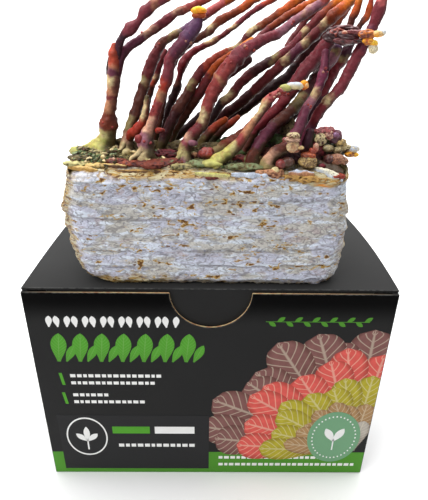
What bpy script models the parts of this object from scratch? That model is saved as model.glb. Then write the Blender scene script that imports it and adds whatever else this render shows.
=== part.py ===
"""Reishi mushroom grow kit: a fruiting block with its antlers, standing on the carton it comes in."""

import math

import bmesh
import bpy
from mathutils import Matrix, Vector, noise

# Sizes are in millimetres, and MM turns them into metres.
# X runs right, Y back and Z up, from the middle of the carton's underside.
MM = 0.001
GAP = 0.4

CARTON_WIDTH = 260
CARTON_DEPTH = 168
CARTON_HEIGHT = 180
BOARD = 2
ROLLED_SIDE = 4
SIDE_BOW_RIGHT = 4
SIDE_BOW_LEFT = 1.5
THUMB_NOTCH_RADIUS = 28.5
THUMB_NOTCH_SEGMENTS = 48
CUTTER_OVERRUN = 10
TUCK_FLAP_WIDTH = 226
TUCK_FLAP_DEPTH = 46
TUCK_FLAP_TAPER = 4
BOW_STEPS = 8

BLOCK_FRONT = -76
BLOCK_BACK = 45
BLOCK_FOOT = CARTON_HEIGHT + GAP
BLOCK_CELLS = (24, 11, 15)
# The cage's shares of half a side past which a corner, a wall's edge and the foot are rounded.
END_STARTS = 0.82
WALL_EDGE_STARTS = 0.76
FOOT_STARTS = 0.72
BLOCK_CORNER_CUT = 5
BLOCK_FOOT_ROUNDING = 2.5
CRUST_END_DROP = 5
# The walls' ledges: depth, pitch, how far they wander, and the noise's scales along and up the wall.
LEDGE_DEPTH = 1.8
LEDGE_PITCH = 13
LEDGE_WANDER = 3.2
LEDGE_WANDER_SCALE = (0.018, 0.02)
LEDGE_LUMP_SCALE = (0.035, 0.09)
LEDGE_WAVE_SHARE = 0.55
LEDGE_LUMP_SHARE = 1.1
END_WALL_SHIFT = 300
# The block's ends seen from the front, as (height, left end, right end).
BLOCK_ENDS = (
    (180, -79, 84),
    (185, -88, 88),
    (191, -93, 90),
    (205, -96, 91),
    (222, -99, 91),
    (240, -98, 89),
    (258, -93, 87),
    (268, -91, 86),
)
# The crust's height from front to back, as (place from front to back, height).
CRUST_PROFILE = (
    (-76, 255),
    (-73, 258),
    (-68, 261),
    (-60, 264),
    (-45, 266),
    (-25, 264),
    (0, 260),
    (25, 256),
    (38, 253),
    (45, 248),
)
CRUST_LUMP = 1.4
CRUST_LUMP_SCALE = (0.06, 0.07)

RING_SIDES_SETTING = 2
RING_SPACING = 12
CURVE_STEPS = 12
FOOT_RISE = 1.5
# A stem's tip: one more ring, this share of the radius further on, and this share of it wide.
TIP_REACH = 0.7
TIP_WIDTH = 0.5
KNOB_ROUGHNESS = 0.25
KNOB_LUMP_SCALE = 1.7


def clear_scene():
    for obj in list(bpy.data.objects):
        bpy.data.objects.remove(obj, do_unlink=True)


def make_collection(name):
    collection = bpy.data.collections.new(name)
    bpy.context.scene.collection.children.link(collection)
    return collection


def make_material(name, colour, roughness, metallic=0.0):
    material = bpy.data.materials.new(name)
    material.use_nodes = True
    shader = material.node_tree.nodes["Principled BSDF"]
    shader.inputs["Base Color"].default_value = (*colour, 1)
    shader.inputs["Roughness"].default_value = roughness
    shader.inputs["Metallic"].default_value = metallic
    return material


def add_mesh(name, bm, collection, material, smooth_angle=None):
    """Puts a bmesh, worked in millimetres, into the scene as an object in metres."""
    bmesh.ops.scale(bm, vec=(MM, MM, MM), verts=bm.verts)
    bmesh.ops.recalc_face_normals(bm, faces=bm.faces)
    mesh = bpy.data.meshes.new(name)
    bm.to_mesh(mesh)
    bm.free()
    if smooth_angle is not None:
        mesh.shade_smooth()
        mesh.set_sharp_from_angle(angle=math.radians(smooth_angle))
    obj = bpy.data.objects.new(name, mesh)
    obj.data.materials.append(material)
    collection.objects.link(obj)
    return obj


def box_mesh(low, high):
    """A bmesh box between two corners, in millimetres."""
    bm = bmesh.new()
    bmesh.ops.create_cube(bm, size=1)
    size = [b - a for a, b in zip(low, high)]
    middle = [(a + b) / 2 for a, b in zip(low, high)]
    bmesh.ops.scale(bm, vec=size, verts=bm.verts)
    bmesh.ops.translate(bm, vec=middle, verts=bm.verts)
    return bm


def cut_with(obj, cutter):
    """A hidden cutter takes its shape out of the object."""
    cutter.hide_render = True
    cutter.display_type = "WIRE"
    boolean = obj.modifiers.new("cut", "BOOLEAN")
    boolean.operation = "DIFFERENCE"
    boolean.object = cutter


def between(rows, at, column):
    """Reads a column of rows, sorted by their first value, at a place between them."""
    if at <= rows[0][0]:
        return rows[0][column]
    for low, high in zip(rows, rows[1:]):
        if at <= high[0]:
            share = (at - low[0]) / (high[0] - low[0])
            return low[column] + share * (high[column] - low[column])
    return rows[-1][column]


def bow_sides(bm):
    """Swells the carton's two end panels, most at their middle and at the top."""
    for vert in bm.verts:
        if abs(vert.co.x) < CARTON_WIDTH / 2 - ROLLED_SIDE - 1:
            continue
        along = math.cos(math.pi * vert.co.y / CARTON_DEPTH)
        height = math.sin(math.pi / 2 * min(1, max(0, vert.co.z / CARTON_HEIGHT)))
        bow = SIDE_BOW_RIGHT if vert.co.x > 0 else -SIDE_BOW_LEFT
        vert.co.x += bow * max(0, along) * height


def split_at(bm, place, normal):
    """Cuts every face that a plane crosses, leaving both sides."""
    everything = bm.verts[:] + bm.edges[:] + bm.faces[:]
    bmesh.ops.bisect_plane(bm, geom=everything, plane_co=place, plane_no=normal)


def split_lengthways(bm):
    """Cuts a mesh across its depth at even steps, so that its sides can bow."""
    for step in range(1, BOW_STEPS):
        split_at(bm, (0, CARTON_DEPTH * (step / BOW_STEPS - 0.5), 0), (0, 1, 0))


def build_carton_body(collection, cutters, material):
    """The tray: a base, a single front wall with a thumb notch, a back wall and two rolled end walls."""
    half_w, half_d = CARTON_WIDTH / 2, CARTON_DEPTH / 2
    rim = CARTON_HEIGHT - BOARD - GAP
    bm = box_mesh((-half_w, -half_d, 0), (half_w, half_d, rim))
    split_lengthways(bm)
    bow_sides(bm)
    body = add_mesh("carton_body", bm, collection, material, 30)

    bm = box_mesh(
        (-half_w + ROLLED_SIDE, -half_d + BOARD, BOARD),
        (half_w - ROLLED_SIDE, half_d - BOARD, rim + CUTTER_OVERRUN),
    )
    split_lengthways(bm)
    bow_sides(bm)
    cut_with(body, add_mesh("carton_hollow", bm, cutters, material))

    bm = bmesh.new()
    bmesh.ops.create_cone(
        bm,
        cap_ends=True,
        segments=THUMB_NOTCH_SEGMENTS,
        radius1=THUMB_NOTCH_RADIUS,
        radius2=THUMB_NOTCH_RADIUS,
        depth=CUTTER_OVERRUN,
    )
    bmesh.ops.rotate(bm, verts=bm.verts, matrix=Matrix.Rotation(math.radians(90), 3, "X"))
    bmesh.ops.translate(bm, verts=bm.verts, vec=(0, -half_d, rim + GAP))
    cut_with(body, add_mesh("thumb_notch_cutter", bm, cutters, material))
    return body


def build_carton_lid(collection, material):
    """The top panel with its front fold and the tuck flap that stands behind the front wall."""
    half_w, half_d = CARTON_WIDTH / 2, CARTON_DEPTH / 2
    front = -half_d + BOARD + GAP
    under = CARTON_HEIGHT - BOARD
    bm = box_mesh((-half_w, front, under), (half_w, half_d, CARTON_HEIGHT))
    split_lengthways(bm)
    half_flap = TUCK_FLAP_WIDTH / 2
    for side in (-1, 1):
        split_at(bm, (side * half_flap, 0, 0), (1, 0, 0))
    split_at(bm, (0, front + BOARD, 0), (0, 1, 0))
    bow_sides(bm)
    strip = [face for face in bm.faces if is_flap_root(face, front, half_flap)]
    grown = bmesh.ops.extrude_face_region(bm, geom=strip)["geom"]
    hem = [item for item in grown if isinstance(item, bmesh.types.BMVert)]
    bmesh.ops.translate(bm, verts=hem, vec=(0, 0, -TUCK_FLAP_DEPTH))
    for vert in hem:
        vert.co.x *= 1 - TUCK_FLAP_TAPER / half_flap
    bmesh.ops.delete(bm, geom=strip, context="FACES")
    return add_mesh("carton_lid", bm, collection, material, 30)


def is_flap_root(face, front, half_flap):
    """Whether a face of the lid is the strip of its underside that the tuck flap hangs from."""
    middle = face.calc_center_median()
    return face.normal.z < -0.9 and middle.y < front + BOARD and abs(middle.x) < half_flap


def crust_height(x, y):
    """The height of the block's crust at a place: its front to back profile with low lumps on it."""
    lump = noise.noise(Vector((x * CRUST_LUMP_SCALE[0], y * CRUST_LUMP_SCALE[1], 2.3)))
    return between(CRUST_PROFILE, y, 1) + CRUST_LUMP * lump


def foot_height(x, y, radius):
    """The lowest height at which a level foot of this radius stands clear of the crust."""
    reach = (-radius, 0, radius)
    return max(crust_height(x + dx, y + dy) for dx in reach for dy in reach) + GAP


def block_ends(z):
    """The block's left and right ends at a height."""
    return between(BLOCK_ENDS, z, 1), between(BLOCK_ENDS, z, 2)


def ledge(x, z):
    """How far the wrinkled skin stands out at a place on the walls: level waves that break up."""
    along, up = LEDGE_WANDER_SCALE
    drift = LEDGE_WANDER * noise.noise(Vector((x * along, z * up, 4.1)))
    wave = math.sin(2 * math.pi * (z / LEDGE_PITCH + drift))
    along, up = LEDGE_LUMP_SCALE
    lump = noise.noise(Vector((x * along, z * up, 9.7)))
    return LEDGE_DEPTH * (LEDGE_WAVE_SHARE * wave + LEDGE_LUMP_SHARE * lump)


def nearness(at, start):
    """Runs from 0 at the start to 1 at the cage's edge."""
    return max(0, at - start) / (1 - start)


def shape_block_vertex(vert):
    """Moves one point of the cage, which runs from -1 to 1 each way, to its place on the block."""
    across, back, up = vert.co
    middle_y, half_depth = (BLOCK_FRONT + BLOCK_BACK) / 2, (BLOCK_BACK - BLOCK_FRONT) / 2
    y = middle_y + half_depth * back
    z = BLOCK_FOOT + (up + 1) / 2 * (between(CRUST_PROFILE, y, 1) - BLOCK_FOOT)
    left, right = block_ends(z)
    x = (left + right) / 2 + (right - left) / 2 * across
    end_near, wall_near = nearness(abs(across), END_STARTS), nearness(abs(back), WALL_EDGE_STARTS)
    corner = BLOCK_CORNER_CUT * (end_near * wall_near) ** 2
    x -= math.copysign(corner, across)
    y -= math.copysign(corner, back)
    on_wall, on_end = abs(back) > 0.99, abs(across) > 0.99
    if on_wall:
        y -= math.copysign(BLOCK_FOOT_ROUNDING * nearness(-up, FOOT_STARTS) ** 2, back)
    if abs(up) < 0.95:
        y += math.copysign(ledge(x, z), back) if on_wall else 0
        x += math.copysign(ledge(y + END_WALL_SHIFT, z), across) if on_end else 0
    if up > 0.99:
        z = crust_height(x, y) - CRUST_END_DROP * end_near**2
    vert.co = (x, y, z)


def build_block(collection, material):
    """The block, one piece: a cage of cells pulled to its outline, with level ledges on its walls."""
    bm = bmesh.new()
    bmesh.ops.create_cube(bm, size=2)
    for axis, cells in enumerate(BLOCK_CELLS):
        edges = [e for e in bm.edges if abs((e.verts[0].co - e.verts[1].co)[axis]) > 1]
        bmesh.ops.subdivide_edges(bm, edges=edges, cuts=cells - 1, use_grid_fill=True)
    for vert in bm.verts:
        shape_block_vertex(vert)
    return add_mesh("mycelium_block", bm, collection, material, 60)


def blend_four(before, start, stop, after, t):
    """The place a share t of the way from start to stop on the smooth curve through all four."""
    return [
        0.5 * (2 * s + (e - b) * t + (2 * b - 5 * s + 4 * e - a) * t**2 + (3 * s - b - 3 * e + a) * t**3)
        for b, s, e, a in zip(before, start, stop, after)
    ]


def curve_through(points, spacing):
    """Even places along a smooth curve through points that hold x, y, z and a radius."""
    first = [2 * a - b for a, b in zip(points[0], points[1])]
    last = [2 * a - b for a, b in zip(points[-1], points[-2])]
    knots = [first, *points, last]
    fine = [
        blend_four(*four, step / CURVE_STEPS)
        for four in zip(knots, knots[1:], knots[2:], knots[3:])
        for step in range(CURVE_STEPS)
    ]
    fine.append(list(points[-1]))
    lengths = [0.0]
    for a, b in zip(fine, fine[1:]):
        lengths.append(lengths[-1] + math.dist(a[:3], b[:3]))
    rows = [(length, *place) for length, place in zip(lengths, fine)]
    count = max(3, round(lengths[-1] / spacing) + 1)
    targets = [lengths[-1] * index / (count - 1) for index in range(count)]
    return [[between(rows, target, column) for column in (1, 2, 3, 4)] for target in targets]


def build_stem(collection, material, name, route, rooted=True):
    """A round bar along a route, with a rounded tip. A rooted one gets a level foot on the crust."""
    places = curve_through(route, RING_SPACING)
    if rooted:
        x, y, _, radius = places[0]
        foot = foot_height(x, y, radius)
        places[0][2] = foot + FOOT_RISE
        places.insert(0, [x, y, foot, radius])
    tip, radius = Vector(places[-1][:3]), places[-1][3]
    heading = (tip - Vector(places[-2][:3])).normalized()
    places.append([*(tip + heading * radius * TIP_REACH), radius * TIP_WIDTH])

    curve = bpy.data.curves.new(name, "CURVE")
    curve.dimensions = "3D"
    curve.bevel_depth = MM
    curve.bevel_resolution = RING_SIDES_SETTING
    curve.use_fill_caps = True
    spline = curve.splines.new("POLY")
    spline.points.add(len(places) - 1)
    for point, (x, y, z, radius) in zip(spline.points, places):
        point.co = (x * MM, y * MM, z * MM, 1)
        point.radius = radius
    curve.materials.append(material)
    stem = bpy.data.objects.new(name, curve)
    collection.objects.link(stem)
    return stem


def build_knob(collection, helpers, material, name, lumps):
    """A young fruit body: lumpy balls, each drawn out to its size, grown together into one solid."""
    knob = None
    for index, (centre, size) in enumerate(lumps):
        bm = bmesh.new()
        bmesh.ops.create_icosphere(bm, subdivisions=2, radius=1)
        for vert in bm.verts:
            swell = 1 + KNOB_ROUGHNESS * noise.noise(vert.co * KNOB_LUMP_SCALE + Vector(centre))
            vert.co = [c + s / 2 * swell * n for c, s, n in zip(centre, size, vert.co)]
        if knob is None:
            knob = add_mesh(name, bm, collection, material, 60)
            continue
        lobe = add_mesh(f"{name}_lobe_{index}", bm, helpers, material)
        lobe.hide_render = True
        lobe.display_type = "WIRE"
        union = knob.modifiers.new("grown_together", "BOOLEAN")
        union.operation = "UNION"
        union.object = lobe
    return knob


# Each stem's route: places in millimetres with the stem's radius there, from its root to its tip.
ROOTED_STEMS = {
    "antler_01_trunk": (
        (-73, -43, 267, 8.8),
        (-71, -43, 275, 5.7),
        (-69, -43, 284, 5.8),
        (-68, -43, 293, 3.9),
        (-64, -42, 311, 4.2),
        (-61, -42, 327, 3.9),
    ),
    "antler_02": (
        (-58, -43, 267, 4.1),
        (-57, -41, 274, 4.1),
        (-55, -39, 282, 3.5),
        (-46, -31, 307, 3.5),
        (-42, -27, 319, 4.2),
        (-30, -20, 333, 3.2),
        (-16, -16, 342, 2.8),
        (-4, -13, 350, 2.8),
        (18, -10, 362, 1.9),
    ),
    "antler_03": (
        (-50, -18, 263, 3),
        (-48, -14, 288, 3),
        (-44, -12, 303, 3.1),
        (-38, -9, 318, 3.2),
        (-33, -8, 327, 1.8),
    ),
    "antler_04": (
        (-43, -58, 265, 4.8),
        (-43, -57, 275, 5.2),
        (-39, -55, 285, 3.4),
        (-33, -51, 302, 3.3),
        (-27, -48, 324, 3.8),
        (-17, -46, 335, 4.4),
        (-10, -45, 343, 4.0),
        (-9, -45, 348, 4.6),
    ),
    "antler_05": (
        (-42, 0, 260, 3.2),
        (-37, 0, 275, 3),
        (-26, 2, 303, 2.7),
        (-21, 3, 319, 3.3),
        (-13, 4, 327, 2.5),
        (14, 9, 342, 2.1),
        (27, 12, 352, 2.1),
        (41, 15, 360, 2.2),
        (51, 17, 365, 1.6),
    ),
    "antler_06": (
        (-41, -28, 265, 3),
        (-36, -27, 287, 2.6),
        (-31, -27, 310, 2.5),
        (-24, -26, 324, 2.5),
        (-5, -25, 338, 2.5),
        (17, -22, 352, 2.4),
        (32, -20, 361, 1.8),
    ),
    "antler_07": (
        (-35, -39, 266, 3.7),
        (-32, -37, 275, 3.7),
        (-25, -34, 289, 3.8),
        (-11, -27, 311, 3.4),
        (5, -19, 325, 2.9),
        (17, -17, 330, 2.7),
        (25, -14, 339, 2.6),
        (37, -9, 346, 2.9),
        (55, -5, 358, 3.0),
        (63, -3, 363, 2.1),
    ),
    "antler_08": (
        (-28, -23, 264, 3.8),
        (-23, -22, 277, 3.9),
        (-14, -24, 290, 3.7),
        (-5, -28, 306, 3.3),
        (2, -31, 319, 2.6),
        (25, -32, 335, 1.9),
    ),
    "antler_09": (
        (-16, -59, 265, 4.8),
        (-15, -57, 272, 4.9),
        (-11, -54, 279, 3.8),
        (-6, -51, 287, 3.8),
        (-2, -48, 300, 4.2),
        (4, -46, 311, 4.8),
        (19, -41, 328, 4.6),
        (29, -39, 334, 3.5),
        (41, -37, 339, 3.0),
        (52, -35, 347, 2.8),
        (72, -31, 360, 2.3),
    ),
    "antler_10": (
        (-34, 3, 260, 3.6),
        (-26, 1, 271, 3.5),
        (-5, -5, 288, 3.5),
        (3, -11, 301, 3.2),
        (10, -17, 310, 3.3),
        (25, -22, 323, 3.2),
    ),
    "antler_11": (
        (-6, -20, 264, 2.8),
        (-2, -17, 279, 2.8),
        (6, -15, 293, 3.1),
        (19, -13, 308, 4.0),
        (31, -11, 316, 3.5),
        (53, -8, 329, 3.3),
        (72, -7, 349, 3.2),
        (87, -7, 362, 2.4),
    ),
    "antler_12": (
        (-8, 0, 261, 3.3),
        (2, -1, 278, 3.9),
        (20, -4, 292, 3.7),
        (50, -16, 322, 3.6),
        (62, -17, 333, 3.5),
        (81, -18, 352, 3.9),
        (94, -18, 362, 2.4),
    ),
    "antler_13": (
        (1, 12, 260, 3.3),
        (12, 10, 276, 3.5),
        (30, 7, 291, 3.5),
        (55, 3, 310, 3.4),
        (72, 1, 331, 3.4),
        (86, -2, 348, 3.0),
        (95, -3, 363, 2.0),
    ),
    "antler_14": (
        (-2, -50, 266, 3.6),
        (8, -47, 272, 4.2),
        (16, -40, 276, 4.2),
        (23, -34, 281, 3.8),
        (41, -24, 301, 2.4),
    ),
    "antler_15": (
        (3, -64, 264, 4.2),
        (11, -63, 270, 4.0),
        (18, -62, 277, 3.4),
        (24, -60, 286, 2.7),
        (30, -58, 294, 2.4),
        (34, -57, 301, 3.0),
        (41, -56, 306, 2.3),
        (56, -55, 310, 2.4),
    ),
    "antler_16": (
        (22, -46, 266, 3.2),
        (28, -44, 280, 3.6),
        (34, -43, 286, 3.8),
        (43, -40, 294, 3.8),
        (49, -37, 301, 3.7),
        (58, -34, 315, 4.0),
        (65, -33, 323, 4.1),
        (70, -32, 331, 3.5),
    ),
    "antler_17": (
        (26, -62, 264, 3.8),
        (28, -60, 271, 3.9),
        (33, -57, 278, 4.0),
        (40, -51, 285, 4.1),
        (47, -47, 290, 4.0),
        (54, -42, 295, 4.0),
        (60, -36, 302, 3.6),
        (67, -30, 309, 3.4),
        (73, -26, 316, 3.4),
        (78, -27, 324, 3.8),
        (81, -28, 331, 3.6),
    ),
    "antler_18": (
        (36, -65, 263, 3.9),
        (40, -66, 271, 4.0),
        (47, -65, 275, 4.0),
        (53, -62, 283, 3.7),
        (58, -57, 295, 3.2),
        (64, -53, 304, 3.0),
        (68, -50, 316, 3.1),
        (69, -48, 324, 2.8),
        (69, -47, 329, 2.2),
    ),
    "antler_19": (
        (63, -33, 265, 3.3),
        (65, -30, 281, 3.4),
        (69, -28, 290, 3.4),
        (74, -25, 299, 3.4),
        (82, -21, 316, 3.6),
        (87, -20, 323, 3.6),
        (91, -20, 333, 3.4),
    ),
    "antler_20": (
        (60, -50, 266, 3.9),
        (63, -49, 279, 3.6),
        (74, -49, 301, 3.4),
        (81, -49, 309, 3.6),
        (85, -49, 319, 3.6),
        (93, -48, 337, 3.6),
        (98, -47, 352, 3.7),
        (99, -47, 362, 2.6),
    ),
    "antler_21": (
        (-71, -27, 264, 2.8),
        (-69, -29, 285, 2.4),
        (-68, -32, 306, 2.2),
        (-67, -33, 318, 2.2),
        (-65, -34, 326, 1.5),
    ),
    "antler_24": (
        (38, -38, 265, 3.0),
        (48, -33, 279, 3.0),
        (54, -31, 286, 3.0),
        (59, -30, 293, 2.8),
        (62, -29, 298, 2.4),
    ),
    "young_dark_bud": (
        (60, -58.5, 265, 3.2),
        (61, -58.5, 275, 3.6),
        (62, -58, 283, 2.6),
    ),
    "young_finger_left": (
        (-8, -36, 266, 3),
        (-4, -36, 274, 3.2),
        (2, -36, 281, 3.1),
        (9, -36, 286, 2.1),
    ),
    "young_finger_middle": (
        (-1, -25, 264, 2.9),
        (5, -25, 275, 2.8),
        (18, -26, 286, 1.8),
    ),
}

# Shoots that leave a stem, or the knot, a little way from it.
FORK_STEMS = {
    "antler_01_left_fork": (
        (-58.5, -44, 332, 2.3),
        (-55, -44, 336, 2.0),
        (-50, -45, 340, 3.9),
        (-45, -46, 344, 2.2),
        (-41, -46, 349, 3.2),
        (-35, -47, 353, 2.9),
        (-24, -48, 358, 1.9),
    ),
    "antler_01_right_fork": (
        (-55.5, -39, 328.5, 2.2),
        (-46, -37, 334, 2.5),
        (-31, -36, 344, 2.7),
        (-13, -36, 353, 2.4),
        (3, -36, 360, 1.7),
    ),
    "antler_02_side_shoot": (
        (-54, -47.5, 277.5, 3.0),
        (-49, -50, 281, 3.4),
        (-45, -49, 287, 2.7),
        (-42, -46, 301, 1.5),
    ),
    "antler_09_fork": (
        (31, -33.5, 338, 2.2),
        (47, -29, 349, 2.4),
        (59, -26, 355, 2.6),
        (68, -25, 360, 2.0),
    ),
    "antler_11_fork": (
        (54, -2.3, 333.6, 2.7),
        (64, 1, 348, 2.8),
        (71, 2, 354, 2.7),
        (80, 2, 362, 1.9),
    ),
    "antler_22": (
        (85, -38, 347, 2.2),
        (87, -38, 352, 2.6),
        (89, -38, 362, 1.8),
    ),
    "antler_23": (
        (89, -39, 342.5, 1.6),
        (95, -36, 350, 2.4),
        (96, -36, 360, 1.3),
    ),
}

# Young fruit bodies, each a list of the lobes it is grown from, as (middle, size).
KNOBS = {
    "folded_cap": (
        ((77, -44, 338.5), (16, 17, 10)),
        ((76, -36, 338.5), (13, 12, 8)),
        ((82, -40, 340), (10, 14, 8)),
        ((82, -52, 339), (13, 10, 10)),
        ((89, -56.5, 339), (12, 7, 9)),
        ((95, -57, 338), (11, 7, 10)),
        ((96, -57, 332.5), (7, 5, 8)),
    ),
    "cream_stem_knob": (
        ((49, -73.2, 277), (10, 8, 11)),
        ((50, -73, 283), (7, 7, 5)),
    ),
    "orange_topped_knob": (
        ((61.5, -67.5, 267.6), (12, 10, 10)),
        ((67, -65.5, 271), (8, 5, 6)),
    ),
    "brown_knob": (((47.5, -68.5, 265.2), (9, 7, 6.5)),),
    "dark_red_knob": (((-4, -60, 269.2), (9, 8, 8)),),
    "right_cluster": (
        ((79, -54, 270.5), (18, 13, 11)),
        ((74, -56, 279), (13, 11, 12)),
        ((80, -55, 280), (12, 11, 10)),
        ((83, -56, 275), (10, 9, 9)),
        ((89, -56, 271.5), (12, 7, 6)),
        ((94, -56, 270), (9, 6, 6)),
    ),
    "striped_knob": (((79, -64.5, 266.5), (14, 7, 6)),),
}


def main():
    clear_scene()
    parts = make_collection("reishi_mushroom_grow_kit")
    cutters = make_collection("cutters")
    black_board = make_material("black_board", (0.012, 0.012, 0.013), 0.6)
    mycelium = make_material("mycelium", (0.62, 0.6, 0.66), 0.85)
    antler_skin = make_material("antler_skin", (0.17, 0.035, 0.045), 0.4)
    young_skin = make_material("young_skin", (0.5, 0.3, 0.14), 0.5)

    build_carton_body(parts, cutters, black_board)
    build_carton_lid(parts, black_board)
    build_block(parts, mycelium)
    for name, route in ROOTED_STEMS.items():
        build_stem(parts, antler_skin, name, route)
    for name, route in FORK_STEMS.items():
        build_stem(parts, antler_skin, name, route, rooted=False)
    for name, lumps in KNOBS.items():
        build_knob(parts, cutters, young_skin, name, lumps)


main()
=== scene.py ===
"""The looks of a reishi mushroom grow kit: a fruiting block with its antlers, standing on its closed carton.

Sizes are in millimetres until a piece is finished. X runs right, Y back and Z up, from the middle of the
carton's underside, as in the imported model.
"""

from __future__ import annotations

import logging
import math
import random
from dataclasses import dataclass, replace
from enum import Enum
from typing import Iterable, Sequence, Union

import bmesh
import bpy
from mathutils import Matrix, Vector, noise

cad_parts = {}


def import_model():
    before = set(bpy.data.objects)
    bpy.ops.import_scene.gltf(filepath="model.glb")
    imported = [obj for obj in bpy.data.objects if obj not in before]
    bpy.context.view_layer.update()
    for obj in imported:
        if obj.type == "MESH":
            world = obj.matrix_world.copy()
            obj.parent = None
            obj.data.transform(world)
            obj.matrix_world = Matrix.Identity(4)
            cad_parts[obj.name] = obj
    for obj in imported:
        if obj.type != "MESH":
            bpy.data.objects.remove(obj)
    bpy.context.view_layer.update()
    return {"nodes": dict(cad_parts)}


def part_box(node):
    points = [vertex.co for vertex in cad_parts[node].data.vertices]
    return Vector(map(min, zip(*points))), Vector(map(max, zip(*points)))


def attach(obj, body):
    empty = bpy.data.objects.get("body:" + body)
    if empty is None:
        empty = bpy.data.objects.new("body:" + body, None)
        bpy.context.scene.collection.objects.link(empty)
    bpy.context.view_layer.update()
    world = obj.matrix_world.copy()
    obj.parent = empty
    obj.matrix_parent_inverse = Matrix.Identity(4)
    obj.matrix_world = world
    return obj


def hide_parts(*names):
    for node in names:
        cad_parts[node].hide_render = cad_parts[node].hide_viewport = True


MM = 0.001
BODY = "root"
LOG = logging.getLogger("grow_kit")
CURVE_STEPS = 12
TIP_SHARE = 0.3
LARGE_LOBE = 7
FRONT = -84.0
FLOAT, VECTOR = "NodeSocketFloat", "NodeSocketVector"

Place = tuple[float, float, float, float]
Spot = tuple[float, float, float]
Spread = tuple[float, float]
Stations = list[tuple[float, list[float]]]
Socket = bpy.types.NodeSocket
Input = Union[bpy.types.NodeSocket, float]


class Slot(Enum):
    """The names of the material slots."""

    BOARD = "carton_board"
    MYCELIUM = "mycelium"
    ANTLER = "antler_skin"
    YOUNG = "young_skin"


class Tone(Enum):
    """The colours of the growth and the print, as display values from 0 to 255."""

    LIME = (188, 188, 104)
    CREAM = (214, 196, 146)
    CREAM_GREEN = (192, 184, 124)
    CREAM_PINK = (208, 166, 138)
    TAN = (184, 132, 96)
    OLIVE_CREAM = (156, 144, 96)
    OLIVE = (98, 84, 50)
    OLIVE_DARK = (58, 52, 30)
    BRICK = (172, 68, 46)
    BRICK_ROSE = (146, 60, 58)
    SCARLET = (160, 52, 36)
    WINE = (118, 38, 46)
    MAROON = (110, 42, 46)
    MAROON_DARK = (68, 28, 32)
    DARK = (44, 20, 24)
    UMBER = (92, 48, 38)
    PLUM = (104, 48, 68)
    PLUM_RED = (122, 50, 60)
    PLUM_DARK = (66, 32, 46)
    INDIGO_PLUM = (98, 62, 96)
    MAUVE = (150, 98, 112)
    MAGENTA_PLUM = (114, 48, 74)
    ROSE = (178, 88, 88)
    BROWN_ORANGE = (136, 60, 32)
    BURNT_ORANGE = (186, 84, 32)
    ORANGE = (228, 126, 34)
    AMBER = (240, 164, 32)
    YELLOW = (250, 206, 48)
    IVORY = (238, 232, 206)
    BLUE_WHITE = (196, 206, 222)
    OCHRE = (178, 138, 72)
    RUST = (116, 50, 32)
    BARK = (98, 66, 44)
    SAGE = (124, 138, 98)
    MOSS = (60, 80, 36)
    GOLD = (206, 174, 108)
    LILAC = (150, 108, 150)
    GREY_BARK = (112, 98, 84)
    ORANGE_STAIN = (214, 138, 58)
    PRINT_WHITE = (236, 236, 234)
    PRINT_GREEN = (82, 156, 48)
    PRINT_BAND = (80, 143, 48)
    PRINT_PANEL = (43, 43, 44)
    PRINT_SAGE = (115, 160, 124)
    PRINT_MAUVE = (128, 88, 84)
    PRINT_SALMON = (216, 92, 84)
    PRINT_OLIVE = (176, 164, 52)
    PRINT_TAN = (168, 132, 92)
    PRINT_STONE = (178, 170, 160)

    def linear(self) -> Vector:
        """The colour in linear light."""
        return linear(self.value)


Colour = Union[bpy.types.NodeSocket, Tone, Vector, tuple]


class Finish(Enum):
    """The finishes that a piece can wear."""

    LACQUER = "antler_lacquer"
    YOUNG = "young_growth"
    MYCELIUM = "mycelium_skin"
    LITTER = "crust_litter"
    BOARD = "carton_board"
    INK = "carton_print"


def linear(display: Sequence[float]) -> Vector:
    """Turns a display colour into linear light.

    Args:
        display: Red, green and blue from 0 to 255.

    Returns:
        The colour in linear light, from 0 to 1.
    """
    shares = (value / 255 for value in display)
    return Vector(s / 12.92 if s <= 0.04045 else ((s + 0.055) / 1.055) ** 2.4 for s in shares)


def smoothstep(low: float, high: float, value: float) -> float:
    """Runs smoothly from 0 at low to 1 at high.

    Args:
        low: Where it starts.
        high: Where it ends.
        value: The place to read it at.

    Returns:
        A share from 0 to 1.
    """
    share = min(1.0, max(0.0, (value - low) / (high - low)))
    return share * share * (3 - 2 * share)


def between(rows: Sequence[Sequence[float]], at: float, column: int) -> float:
    """Reads a column of rows, sorted by their first value, at a place between them.

    Args:
        rows: The rows.
        at: The place, on the scale of the first column.
        column: The column to read.

    Returns:
        The value there.
    """
    if at <= rows[0][0]:
        return rows[0][column]
    for low, high in zip(rows, rows[1:]):
        if at <= high[0]:
            share = (at - low[0]) / max(1e-9, high[0] - low[0])
            return low[column] + share * (high[column] - low[column])
    return rows[-1][column]


def lumps(place: Vector, size: Sequence[float] | float, octaves: int = 2, seed: float = 0.0) -> float:
    """Smooth random lumps.

    Args:
        place: The place in millimetres.
        size: The lumps' size in millimetres, one for all directions or one for each.
        octaves: How many times finer lumps are added.
        seed: Shifts the pattern.

    Returns:
        A height of about -1 to 1.
    """
    sizes = (size, size, size) if isinstance(size, (int, float)) else size
    spot = Vector((place.x / sizes[0] + seed, place.y / sizes[1] - seed, place.z / sizes[2] + 2 * seed))
    return noise.fractal(spot, 0.9, 2.1, octaves)


def blend_four(before: Place, start: Place, stop: Place, after: Place, t: float) -> list[float]:
    """Reads a smooth curve through four places.

    Args:
        before: The place before the stretch.
        start: Where the stretch starts.
        stop: Where it ends.
        after: The place after it.
        t: The share of the way from start to stop.

    Returns:
        The place there.
    """
    return [
        0.5 * (2 * s + (e - b) * t + (2 * b - 5 * s + 4 * e - a) * t**2 + (3 * s - b - 3 * e + a) * t**3)
        for b, s, e, a in zip(before, start, stop, after)
    ]


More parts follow.
